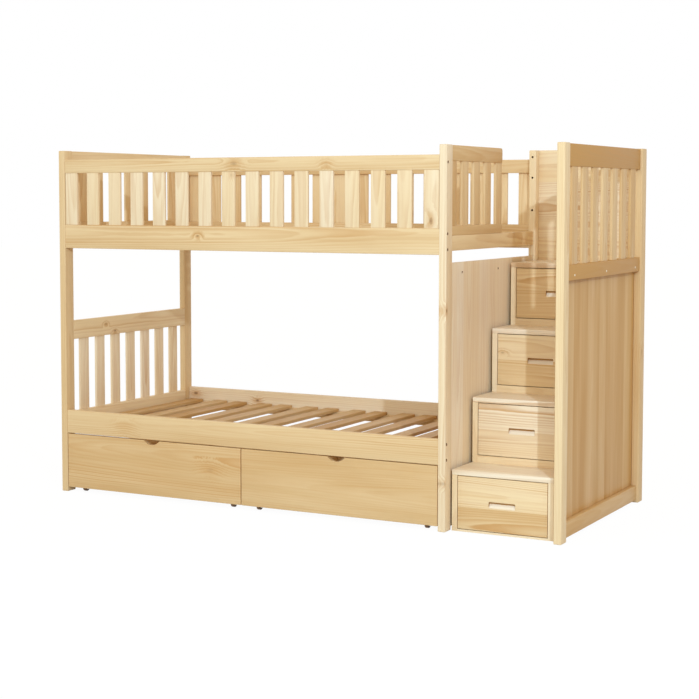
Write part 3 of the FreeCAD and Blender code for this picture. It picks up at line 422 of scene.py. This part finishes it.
def rod(centre, axis, diameter, length, segments=32):
    """A cylinder about a centre, along an axis."""
    bm = bmesh.new()
    turn = AXES["Z"].rotation_difference(AXES[axis]).to_matrix().to_4x4()
    bmesh.ops.create_cone(bm, cap_ends=True, segments=segments, radius1=diameter / 2,
                          radius2=diameter / 2, depth=length, matrix=Matrix.Translation(centre) @ turn)
    return bm


def plain_object(bm, name):
    mesh = bpy.data.meshes.new(name)
    bm.to_mesh(mesh)
    bm.free()
    made = bpy.data.objects.new(name, mesh)
    bpy.context.scene.collection.objects.link(made)
    return made


def carve(bm, cutters):
    """Takes the cutters' volumes out of a board."""
    target = plain_object(bm, "carved")
    tools = [plain_object(cutter, f"cutter_{index}") for index, cutter in enumerate(cutters)]
    for tool in tools:
        cut = target.modifiers.new("cut", "BOOLEAN")
        cut.operation = "DIFFERENCE"
        cut.solver = "EXACT"
        cut.object = tool
    graph = bpy.context.evaluated_depsgraph_get()
    mesh = bpy.data.meshes.new_from_object(target.evaluated_get(graph))
    carved = bmesh.new()
    carved.from_mesh(mesh)
    for thing in (target, *tools):
        old = thing.data
        bpy.data.objects.remove(thing)
        bpy.data.meshes.remove(old)
    bpy.data.meshes.remove(mesh)
    return carved


def grain_layers(bm):
    """The attributes that the pine reads. New layers make old face references stale."""
    corners, faces = bm.loops.layers.float_vector, bm.faces.layers.float_vector
    return [layers.get(name) or layers.new(name) for layers, name in
            ((corners, "grain"), (corners, "knot"), (corners, "second_knot"), (faces, "board"))]


class Timber:
    """Where one board was cut from its log, and its knots. It lays the grain on the board."""

    def __init__(self, name, low, high, grain, tone=0.0, knots=(), figure=1.0):
        luck = random.Random(name)
        size = high - low
        others = sorted((axis for axis in "XYZ" if axis != grain), key=lambda a: size["XYZ".index(a)])
        thick, wide = (AXES[axis] for axis in others)
        self.along = AXES[grain]
        self.thick = thick * luck.choice((1, -1))
        self.wide = wide
        self.middle = (low + high) / 2
        self.depth = luck.uniform(0.028, 0.085)
        self.shift = luck.uniform(-0.42, 0.42) * size.dot(wide)
        self.tilt = luck.choice((1, -1)) * luck.uniform(0.006, 0.030)
        self.lean = luck.uniform(-0.012, 0.012)
        self.start = luck.uniform(2, 60)
        self.tone = tone + luck.uniform(-0.16, 0.16)
        self.figure = figure
        room = Vector((0.003, 0.003, 0.003))
        self.knots = [(Vector(place) - self.middle, scale, darkness) for place, scale, darkness in knots
                      if all(low[i] - room[i] <= place[i] <= high[i] + room[i] for i in range(3))]

    def from_knot(self, along, across, number):
        """The way from a knot in units of its size, or far away where the board has none."""
        if number >= len(self.knots):
            return 9.0, 9.0, 0.0
        place, scale, darkness = self.knots[number]
        return (along - place.dot(self.along)) / scale, (across - place.dot(self.wide)) / scale, darkness

    def lay(self, bm, faces=None):
        grain, knot, second_knot, board = grain_layers(bm)
        for face in faces or bm.faces:
            end = 1.0 if abs(face.normal.dot(self.along)) > 0.8 else 0.0
            face[board] = (self.tone, end, self.figure)
            for loop in face.loops:
                away = loop.vert.co - self.middle
                along = away.dot(self.along)
                across = away.dot(self.wide)
                loop[grain] = (self.depth + away.dot(self.thick) + along * self.tilt,
                               self.shift + across + along * self.lean, self.start + along)
                loop[knot] = self.from_knot(along, across, 0)
                loop[second_knot] = self.from_knot(along, across, 1)


def cut_faces(bm, low, high, room=4 * MM):
    """Faces that a cutter left inside a board."""
    return [face for face in bm.faces
            if all(low[i] + room < face.calc_center_median()[i] < high[i] - room for i in range(3))]


def lay_staves(bm, name, low, high, grain, width, tone=0.0, knots=(), figure=1.0):
    """Lays the grain of a glued panel: each stave across its width has a log of its own."""
    size = high - low
    across = max((axis for axis in "XYZ" if axis != grain), key=lambda a: size["XYZ".index(a)])
    index = "XYZ".index(across)
    luck = random.Random(name + " staves")
    count = max(1, round(size[index] / width))
    joints = [low[index] + size[index] * (k + luck.uniform(-0.18, 0.18)) / count for k in range(1, count)]
    for joint in joints:
        place = Vector((0, 0, 0))
        place[index] = joint
        bmesh.ops.bisect_plane(bm, geom=bm.verts[:] + bm.edges[:] + bm.faces[:], dist=1e-6,
                               plane_co=place, plane_no=AXES[across])
    bm.normal_update()
    grain_layers(bm)
    edges = [low[index], *joints, high[index]]
    for k in range(count):
        near, far = low.copy(), high.copy()
        near[index], far[index] = edges[k], edges[k + 1]
        mine = [face for face in bm.faces
                if edges[k] - 1e-6 <= face.calc_center_median()[index] <= edges[k + 1] + 1e-6]
        shade = tone + luck.uniform(-0.16, 0.16)
        Timber(f"{name} stave {k}", near, far, grain, shade, knots, figure).lay(bm, mine)


def piece(name, boards, body, nodes, material="Pine", smooth=True):
    """Joins boards into one object that rides on a body and stands for CAD nodes."""
    whole = bmesh.new()
    for bm in boards:
        part = bpy.data.meshes.new("part")
        bm.to_mesh(part)
        bm.free()
        whole.from_mesh(part)
        bpy.data.meshes.remove(part)
    made = plain_object(whole, name)
    made.data.materials.append(bpy.data.materials[material])
    for polygon in made.data.polygons:
        polygon.use_smooth = smooth
    if smooth:
        made.data.set_sharp_from_angle(angle=math.radians(35))
    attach(made, body)
    if nodes:
        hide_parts(*nodes)
    return made


def give_material(node, material):
    """Gives a CAD node that stays as it is a better finish."""
    made = frame["nodes"][node]
    for place in made.material_slots:
        place.material = bpy.data.materials[material]
    if not made.material_slots:
        made.data.materials.append(bpy.data.materials[material])


# Knots: the point on a board's face in metres, the size against a common knot and the darkness.
KNOTS = {
    "upper_front_top_rail": [((-0.287, -0.540, 1.550), 1.6, 0.35), ((0.178, -0.540, 1.545), 1.0, 0.1)],
    "upper_front_side_rail": [((-0.479, -0.540, 1.228), 0.8, 0.5)],
    "upper_front_slats": [((0.672, -0.538, 1.303), 1.4, 0.55), ((-0.301, -0.538, 1.500), 0.8, 0.2)],
    "upper_back_slats": [((0.420, 0.530, 1.400), 0.8, 0.5)],
    "headboard_top_rail": [((-1.222, -0.224, 0.779), 0.7, 0.5), ((-1.222, -0.149, 0.741), 0.8, 0.8)],
    "headboard_slats": [((-1.232, 0.345, 0.459), 0.6, 0.7)],
    "post_back_left": [((-1.222, 0.454, 0.572), 0.8, 0.7)],
    "post_front_left": [((-1.201, -0.542, 0.659), 0.8, 0.6)],
    "post_front_right": [((0.744, -0.535, 0.930), 0.9, 0.7), ((0.726, -0.542, 0.205), 0.7, 0.25)],
    "outer_post_back": [((1.256, 0.505, 0.693), 1.3, 0.3)],
    "lower_back_side_rail": [((-1.178, 0.516, 0.360), 1.3, 0.9), ((-0.797, 0.516, 0.343), 1.1, 0.8)],
    "lower_front_side_rail": [((-0.887, -0.540, 0.330), 1.9, 0.0)],
    "upper_right_end_rail": [((0.734, 0.342, 1.255), 1.5, 1.0)],
    "left_box_front": [((-0.418, -0.540, 0.168), 1.9, 0.12)],
    "drawer_3_front": [((0.800, -0.055, 0.718), 0.8, 0.35)],
}


def straight_boards(node, ease, tone=0.0, grain=None, staves=False, cutters=None, figure=1.0):
    """Rebuilds each solid of a CAD node as a rounded board with its own grain."""
    boards = []
    sizes = bpy.context.scene.bed_sizes
    for index, points in enumerate(loose_parts(node)):
        low, high = extent(points)
        axis = longest(low, high)
        if not staves:
            low, high = shoulders(points, axis)
        bm = block(low, high, ease)
        if cutters:
            bm = carve(bm, cutters)
        bm.normal_update()
        run = grain or axis
        name = f"{node} {index}"
        if staves:
            lay_staves(bm, name, low, high, run, sizes.stave_width, tone, KNOTS.get(node, ()), figure)
        else:
            Timber(name, low, high, run, tone, KNOTS.get(node, ()), figure).lay(bm)
        # Painted shade: the walls of bored holes get a knot's dark middle and brown ring in place of the
        # shade inside the holes.
        if cutters:
            knot = grain_layers(bm)[1]
            for face in cut_faces(bm, low, high):
                for loop in face.loops:
                    loop[knot] = (0.0, 0.0, 1.0)
        boards.append(bm)
    return boards


def dress(node, ease, **how):
    """A wooden piece that stands for one CAD node of straight boards."""
    boards = straight_boards(node, ease, **how)
    return piece(node.title().replace("_", ""), boards, BODY_OF[node], [node])


def open_box(node, ease, tone):
    """A drawer's sides, back and bottom. Boards that meet in the CAD share points, so the walls
    come as one group, and their thickness is read from the back."""
    floor, walls = sorted(loose_parts(node), key=len)
    low, high = extent(walls)
    bottom = extent(floor)
    thick = high.y - sorted({round(p.y, 5) for p in walls})[-2]
    left, right = low.x + thick, high.x - thick
    boards = ((low, Vector((left, high.y, high.z))),
              (Vector((right, low.y, low.z)), high),
              (Vector((left, high.y - thick, bottom[1].z)), Vector((right, high.y, high.z))),
              bottom)
    made = []
    for index, (near, far) in enumerate(boards):
        bm = block(near, far, ease, 2)
        bm.normal_update()
        if index == 3:
            lay_staves(bm, f"{node} bottom", near, far, "Y", 0.12, tone, figure=0.8)
        else:
            Timber(f"{node} {index}", near, far, longest(near, far), tone).lay(bm)
        made.append(bm)
    return piece(node.title().replace("_", ""), made, BODY_OF[node], [node])


# Tones of boards: -1 is sapwood, 0 common wood and 1 heartwood.
DRAWER_TONE = (0.2, -0.5, -0.03, 0.19)
POST_TONE = {"post_front_left": 0.26, "post_back_left": 0.2, "post_front_right": -0.42,
             "post_back_right": -0.1, "outer_post_front": 0.0, "outer_post_back": 0.3}
END_RAIL_TONE = {"upper_left_top_rail": 0.2, "upper_left_bottom_rail": 0.2, "headboard_top_rail": 0.0,
                 "headboard_bottom_rail": 0.0, "upper_right_end_rail": 0.0, "half_guard_bottom_rail": 0.4,
                 "right_base_rail": 0.2, "outer_top_rail": 1.0, "outer_middle_rail": 1.0,
                 "outer_base_rail": 0.6}


# Operators, one for each group of like pieces

class BuildOperator(bpy.types.Operator):
    """Shared setting of the building steps"""
    bl_options = {"REGISTER", "UNDO"}


class BED_OT_materials(BuildOperator):
    """Makes the pine, zinc and plastic materials"""
    bl_idname = "bed.materials"
    bl_label = "Materials"

    def execute(self, context):
        look = context.scene.fitting_look
        pine()
        zinc()
        moulded("Wheel plastic", look.wheel, 0.38)
        moulded("Cap plastic", look.cap, 0.3)
        return {"FINISHED"}


def bolt_places():
    """Where bolts pass the bed's posts: (post, x of its outer face, outward direction, y, z)."""
    places = []
    rails = {"front": ("upper_front_top_rail", "upper_front_side_rail", "lower_front_side_rail"),
             "back": ("upper_back_top_rail", "upper_back_side_rail", "lower_back_side_rail")}
    for end, outward in (("left", -1), ("right", 1)):
        for side, names in rails.items():
            post_low, post_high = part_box(f"post_{side}_{end}")
            face = post_low.x if outward < 0 else post_high.x
            for name in names:
                low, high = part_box(name)
                height = high.z - low.z
                insets = (0.5,) if height < 0.08 else (BOLT_INSET / height, 1 - BOLT_INSET / height)
                for share in insets:
                    places.append((f"post_{side}_{end}", face, outward, (low.y + high.y) / 2,
                                   low.z + height * share))
    return places


class BED_OT_posts(BuildOperator):
    """Six posts with rounded edges, bolt seats and the half guard's spare holes"""
    bl_idname = "bed.posts"
    bl_label = "Posts"

    def execute(self, context):
        sizes = context.scene.bed_sizes
        places = bolt_places()
        for node in ("post_front_left", "post_back_left", "post_front_right", "post_back_right",
                     "outer_post_front", "outer_post_back"):
            cutters = [rod(Vector((face, y, z)), "X", sizes.bolt_seat, SEAT_CUT, 24)
                       for post, face, _, y, z in places if post == node]
            if node == "post_back_right":
                low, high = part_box(node)
                for drop in SPARE_HOLE_DROPS:
                    centre = Vector(((low.x + high.x) / 2, low.y, high.z - drop * MM))
                    cutters.append(rod(centre, "Y", sizes.spare_hole, 60 * MM, 20))
            dress(node, sizes.post_round, cutters=cutters, tone=POST_TONE[node], figure=0.5)
        return {"FINISHED"}


class BED_OT_bolts(BuildOperator):
    """Socket bolts in the posts' seats and the capped screws of the outer middle rail"""
    bl_idname = "bed.bolts"
    bl_label = "Bolts and screws"

    def execute(self, context):
        sizes = context.scene.bed_sizes
        heads = []
        for _, face, outward, y, z in bolt_places():
            centre = Vector((face - outward * HEAD_DEPTH, y, z))
            head = rod(centre, "X", sizes.bolt_head, 5 * MM, 24)
            socket = rod(centre + Vector((outward * 2 * MM, 0, 0)), "X", 4.5 * MM, 4 * MM, 6)
            heads.append(carve(head, [socket]))
        piece("FrameBolts", heads, "bed", [], "Zinc plate")
        low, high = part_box("outer_middle_rail")
        caps = []
        for inset in SCREW_CAPS:
            centre = Vector((high.x + 0.6 * MM, low.y + inset * MM, low.z + CAP_HEIGHT))
            cap = rod(centre, "X", 9 * MM, 2.4 * MM, 32)
            rim = [edge for edge in cap.edges if min(v.co.x for v in edge.verts) > high.x + 1.5 * MM]
            round_edges(cap, rim, 1.1 * MM)
            caps.append(cap)
        piece("OuterRailScrewCaps", caps, "bed", [], "Cap plastic")
        return {"FINISHED"}


class BED_OT_rails(BuildOperator):
    """Side rails, guard rails and end rails"""
    bl_idname = "bed.rails"
    bl_label = "Rails"

    def execute(self, context):
        ease = context.scene.bed_sizes.rail_round
        for side in ("front", "back"):
            dress(f"upper_{side}_top_rail", ease, tone=0.23)
            dress(f"upper_{side}_side_rail", ease, tone=0.23, figure=1.4)
            dress(f"lower_{side}_side_rail", ease, tone=0.29 if side == "front" else -0.55)
        for node, tone in END_RAIL_TONE.items():
            dress(node, ease, tone=tone)
        return {"FINISHED"}


class BED_OT_half_guard_cap(BuildOperator):
    """Top rail of the half guard, with its rounded free corner"""
    bl_idname = "bed.half_guard_cap"
    bl_label = "Half guard top rail"

    def execute(self, context):
        sizes = context.scene.bed_sizes
        low, high = shoulders(loose_parts("half_guard_top_rail")[0], "Y")
        high.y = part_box("half_guard_top_rail")[1].y
        bm = block(low, high, None)
        corner = [edge for edge in bm.edges if all((v.co - high).length < 0.03 and v.co.z > high.z - MM
                                                   and v.co.y > high.y - MM for v in edge.verts)]
        round_edges(bm, corner, CAP_CORNER, 8)
        sharp = [edge for edge in bm.edges if edge.calc_face_angle(0) > math.radians(30)]
        round_edges(bm, sharp, sizes.rail_round)
        bm.normal_update()
        Timber("half guard top", low, high, "Y", 0.6).lay(bm)
        piece("HalfGuardTopRail", [bm], "bed", ["half_guard_top_rail"])
        return {"FINISHED"}


class BED_OT_slats(BuildOperator):
    """Upright slats, bed slats and their cleats"""
    bl_idname = "bed.slats"
    bl_label = "Slats"

    def execute(self, context):
        ease = context.scene.bed_sizes.slat_round
        for node, tone in (("upper_front_slats", -0.33), ("upper_back_slats", 0.1), ("upper_left_slats", 0.1),
                           ("headboard_slats", -0.55), ("half_guard_slats", 0.3), ("outer_end_slats", 0.45),
                           ("upper_bed_slats", 0.1), ("lower_bed_slats", 0.75), ("bed_slat_cleats", 0.1)):
            dress(node, ease, tone=tone, figure=0.8)
        return {"FINISHED"}


class BED_OT_panels(BuildOperator):
    """Glued panels: the end panel with its holes, the stairs' sides and their back"""
    bl_idname = "bed.panels"
    bl_label = "Panels"

    def execute(self, context):
        sizes = context.scene.bed_sizes
        low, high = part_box("right_end_panel")
        middle = (low.x + high.x) / 2
        holes = [rod(Vector((middle, y * MM - HALF_DEPTH, PANEL_HOLE_HEIGHT)), "X", PANEL_HOLE, 60 * MM, 24)
                 for y in PANEL_HOLES]
        dress("right_end_panel", sizes.board_round, grain="Z", staves=True, cutters=holes, tone=-0.75,
              figure=0.5)
        dress("stair_side_panel", sizes.board_round, grain="Z", staves=True, tone=0.85, figure=0.45)
        dress("stair_back_board", sizes.board_round, grain="X", staves=True, tone=-0.25, figure=1.1)
        stepped = bmesh.new()
        stepped.from_mesh(frame["nodes"]["stair_side_stepped"].data)
        bmesh.ops.remove_doubles(stepped, verts=stepped.verts, dist=1e-6)
        bmesh.ops.dissolve_limit(stepped, angle_limit=0.01, verts=stepped.verts[:], edges=stepped.edges[:])
        stepped.normal_update()
        low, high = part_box("stair_side_stepped")
        lay_staves(stepped, "stepped side", low, high, "Z", sizes.stave_width, 0.06, figure=0.5)
        piece("StairSideStepped", [stepped], "bed", ["stair_side_stepped"], smooth=False)
        return {"FINISHED"}


class BED_OT_staircase(BuildOperator):
    """Treads, face frames and the strips inside the staircase"""
    bl_idname = "bed.staircase"
    bl_label = "Staircase"

    def execute(self, context):
        sizes = context.scene.bed_sizes
        dress("stair_treads", sizes.slat_round, tone=-1.0)
        dress("stair_runners", sizes.board_round, tone=0.1)
        members = []
        for points in loose_parts("stair_face_frames"):
            low, high = extent(points)
            left, right = sorted({round(p.x, 5) for p in points})[1:3]
            sill = min(p.z for p in points if p.z > low.z + MM)
            members += [(low, Vector((left, high.y, high.z))), (Vector((right, low.y, low.z)), high),
                        (Vector((left, low.y, low.z)), Vector((right, high.y, sill)))]
        boards = []
        for index, (low, high) in enumerate(members):
            board = block(low, high, 0.4 * MM, 1)
            Timber(f"face frame {index}", low, high, longest(low, high), -0.3, figure=0.5).lay(board)
            boards.append(board)
        piece("StairFaceFrames", boards, "bed", ["stair_face_frames"])
        return {"FINISHED"}


def pull_cutters(low, high, sizes):
    """The router's path for a finger pull: a ramp up to a back wall below the upper lip."""
    length, height, depth = sizes.pull_length, sizes.pull_height, sizes.pull_depth
    centre = (low + high) / 2
    foot = centre.z - height / 2
    near = Vector((centre.x - length / 2, low.y - 4 * MM, foot))
    far = Vector((centre.x + length / 2, low.y + depth, foot + height))
    ramp = block(near, far, None)
    corners = [edge for edge in ramp.edges if abs((edge.verts[0].co - edge.verts[1].co).y) > 5 * MM]
    round_edges(ramp, corners, 4 * MM, 4)
    bmesh.ops.bisect_plane(ramp, geom=ramp.verts[:] + ramp.edges[:] + ramp.faces[:], dist=1e-6,
                           plane_co=(0, 0, foot + height * RAMP_SHARE), plane_no=(0, 0, 1))
    for vert in ramp.verts:
        if vert.co.y > low.y:
            share = min(1.0, (vert.co.z - foot) / (height * RAMP_SHARE))
            vert.co.y = low.y + depth * share
    return [ramp]


class BED_OT_drawers(BuildOperator):
    """Four stair drawers with routed pulls"""
    bl_idname = "bed.drawers"
    bl_label = "Drawers"

    def execute(self, context):
        sizes = context.scene.bed_sizes
        for step in range(1, 5):
            node = f"drawer_{step}_front"
            low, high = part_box(node)
            front = carve(block(low, high, sizes.board_round), pull_cutters(low, high, sizes))
            front.normal_update()
            lay_staves(front, node, low, high, "X", 0.115, DRAWER_TONE[step - 1], KNOTS.get(node, ()), 1.3)
            _, knot, _, board = grain_layers(front)
            # Painted light in the pull: faces that look up get the palest tone as a painted highlight, and
            # the back wall and the lip's underside get heartwood with a knot's dark middle as painted shade.
            for face in cut_faces(front, low, high, 1.5 * MM):
                if face.normal.z > 0.3:
                    face[board] = (-1.2, 0.0, 0.3)
                else:
                    face[board] = (1.0, 0.0, 0.3)
                    for loop in face.loops:
                        loop[knot] = (0.0, 0.0, 0.35)
            piece(f"Drawer{step}Front", [front], f"drawer_{step}", [node])
            open_box(f"drawer_{step}_box", sizes.board_round, 0.0)
        return {"FINISHED"}


class BED_OT_rolling_boxes(BuildOperator):
    """Two boxes that roll under the lower bed, with a finger hole in each front"""
    bl_idname = "bed.rolling_boxes"
    bl_label = "Rolling boxes"

    def execute(self, context):
        sizes = context.scene.bed_sizes
        for side in ("left", "right"):
            node = f"{side}_box_front"
            low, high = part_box(node)
            high.z += sizes.box_front_rise
            radius = (NOTCH_WIDTH * NOTCH_WIDTH / (8 * NOTCH_DEPTH) + NOTCH_DEPTH / 2) * MM
            centre = Vector(((low.x + high.x) / 2, (low.y + high.y) / 2,
                             high.z - NOTCH_DEPTH * MM + radius))
            notch = rod(centre, "Y", 2 * radius, 60 * MM, 96)
            front = carve(block(low, high, sizes.rail_round), [notch])
            front.normal_update()
            tone, figure = (0.6, 1.2) if side == "left" else (0.42, 0.7)
            lay_staves(front, node, low, high, "X", 0.26, tone, KNOTS.get(node, ()), figure)
            piece(f"{side.title()}BoxFront", [front], f"{side}_box", [node])
            open_box(f"{side}_box_shell", sizes.board_round, 0.0)
        return {"FINISHED"}


class BED_OT_casters(BuildOperator):
    """Small fixed wheels, and the plated forks that hold them"""
    bl_idname = "bed.casters"
    bl_label = "Casters"

    def execute(self, context):
        for side in ("left", "right"):
            give_material(f"{side}_box_forks", "Zinc plate")
            for end in ("front", "back"):
                node = f"{side}_box_{end}_wheels"
                wheels = [turned_wheel(*extent(points)) for points in loose_parts(node)]
                piece(f"{side.title()}Box{end.title()}Wheels", wheels, node, [node], "Wheel plastic")
        return {"FINISHED"}


def turned_wheel(low, high):
    """A moulded wheel: a rounded tyre, a dished web and a hub round the bore."""
    bm = bmesh.new()
    centre = (low + high) / 2
    radius = (high.z - low.z) / 2
    half = (high.x - low.x) / 2
    tyre = radius - 1.8 * MM
    dish = half - 2.4 * MM
    side = ((half, 3.1 * MM), (half, 6 * MM), (dish, 7 * MM), (dish, 12.2 * MM), (half, 13.6 * MM),
            (half, tyre), (half - 0.6 * MM, radius - 0.6 * MM), (half - 1.8 * MM, radius))
    ring = [*side, *((-x, r) for x, r in reversed(side))]
    verts = [bm.verts.new((x, 0, r)) for x, r in ring]
    edges = [bm.edges.new((verts[i], verts[(i + 1) % len(verts)])) for i in range(len(verts))]
    bmesh.ops.spin(bm, geom=verts + edges, cent=(0, 0, 0), axis=(1, 0, 0), dvec=(0, 0, 0),
                   angle=math.tau, steps=40, use_merge=True, use_normal_flip=False, use_duplicate=False)
    bmesh.ops.remove_doubles(bm, verts=bm.verts, dist=1e-7)
    bmesh.ops.recalc_face_normals(bm, faces=bm.faces[:])
    bmesh.ops.translate(bm, vec=centre, verts=bm.verts)
    return bm


class BED_OT_stage(BuildOperator):
    """Pale floor, soft light and the camera"""
    bl_idname = "bed.stage"
    bl_label = "Stage"

    def execute(self, context):
        look = context.scene.stage_look
        scene = context.scene
        scene.view_settings.view_transform = "Standard"
        bm = bmesh.new()
        bmesh.ops.create_grid(bm, x_segments=1, y_segments=1, size=30)
        floor = plain_object(bm, "Floor")
        floor.data.materials.append(floor_material(look))
        set_world(look)
        area_lamp("Key", (4.82, -6.122, 3.48), (0.4, 0.0, 0.75), 0.14, look.key_power, look.key_tint)
        camera = bpy.data.objects.new("Camera", bpy.data.cameras.new("Camera"))
        scene.collection.objects.link(camera)
        camera.data.sensor_width = 36
        camera.data.lens = 36 * PHOTO_FOCUS / PHOTO_SIZE
        camera.data.shift_x = (PHOTO_SIZE / 2 - PHOTO_CENTRE[0]) / PHOTO_SIZE
        camera.data.shift_y = (PHOTO_CENTRE[1] - PHOTO_SIZE / 2) / PHOTO_SIZE
        camera.location = (3.4368, -6.5857, 1.4039)
        camera.rotation_euler = (math.radians(90 - 4.01), math.radians(0.03), math.radians(28.78))
        camera.data.clip_end = 100
        scene.camera = camera
        return {"FINISHED"}


def floor_material(look):
    """A pale floor that the camera sees as white, but for the shadow on it."""
    material = new_material("Pale floor")
    graph = Graph(material)
    place = graph.place()
    mottle = graph.noise(graph.stretch(place, (1.5, 1.5, 1.5)), 3.0)
    tint = graph.mix(graph.ramp(mottle, 0.3, 0.7), paint(look.floor), paint([c * 0.98 for c in look.floor]))
    matte = graph.add("ShaderNodeBsdfPrincipled", None, {"Base Color": tint, "Roughness": 0.9})
    glow = graph.add("ShaderNodeEmission", None, {"Color": (1, 1, 1, 1), "Strength": 1.04})
    seen = graph.add("ShaderNodeMixShader", None, [graph.unlit_rays() * FLOOR_GLOW, matte, glow])
    graph.add("ShaderNodeOutputMaterial", None, [seen])
    return material


def set_world(look):
    """A sky that is bright in front, less so behind and warm at the sides; seen directly it is white."""
    world = bpy.data.worlds.new("Studio")
    bpy.context.scene.world = world
    graph = Graph(world)
    way = graph.add("ShaderNodeTexCoord", output=0)
    ahead = graph.add("ShaderNodeVectorMath", {"operation": "DOT_PRODUCT"}, [way, FRONT], 1)
    skies = ((look.side_tint, look.side_light), (look.front_tint, look.front_light), ((1, 1, 1), 1.0))
    sides, front, white = [
        graph.add("ShaderNodeBackground", None, {"Color": paint(tint), "Strength": strength})
        for tint, strength in skies]
    sky = graph.add("ShaderNodeMixShader", None, [ahead.math("MAXIMUM", ahead * -BACK_SKY), sides, front])
    seen = graph.add("ShaderNodeMixShader", None, [graph.unlit_rays(), sky, white])
    graph.add("ShaderNodeOutputWorld", None, [seen])


def area_lamp(name, place, target, size, power, tint):
    lamp = bpy.data.lights.new(name, "AREA")
    lamp.shape = "DISK"
    lamp.size = size
    lamp.energy = power
    lamp.color = tint
    made = bpy.data.objects.new(name, lamp)
    made.location = place
    made.rotation_euler = (Vector(target) - Vector(place)).to_track_quat("-Z", "Y").to_euler()
    bpy.context.scene.collection.objects.link(made)


STEPS = (BED_OT_materials, BED_OT_posts, BED_OT_rails, BED_OT_half_guard_cap, BED_OT_slats,
         BED_OT_panels, BED_OT_staircase, BED_OT_drawers, BED_OT_rolling_boxes, BED_OT_casters,
         BED_OT_bolts, BED_OT_stage)
GROUPS = {"bed_sizes": BedSizes, "wood_look": WoodLook, "fitting_look": FittingLook,
          "stage_look": StageLook}


class BED_PT_sidebar(bpy.types.Panel):
    """Lists the building steps and their sizes and colours"""
    bl_idname = "BED_PT_sidebar"
    bl_label = "Bunk bed"
    bl_space_type = "VIEW_3D"
    bl_region_type = "UI"
    bl_category = "Bunk bed"

    def draw(self, context):
        for group in GROUPS:
            settings = getattr(context.scene, group)
            for name in settings.bl_rna.properties.keys():
                if name not in ("rna_type", "name"):
                    self.layout.prop(settings, name)
        for step in STEPS:
            self.layout.operator(step.bl_idname)


def register():
    for item in (*GROUPS.values(), *STEPS, BED_PT_sidebar):
        bpy.utils.register_class(item)
    for name, group in GROUPS.items():
        setattr(bpy.types.Scene, name, PointerProperty(type=group))


def unregister():
    for name in GROUPS:
        delattr(bpy.types.Scene, name)
    for item in (BED_PT_sidebar, *reversed(STEPS), *reversed(list(GROUPS.values()))):
        bpy.utils.unregister_class(item)


def main():
    register()
    for step in STEPS:
        family, name = step.bl_idname.split(".")
        getattr(getattr(bpy.ops, family), name)()


if __name__ == "__main__":
    main()
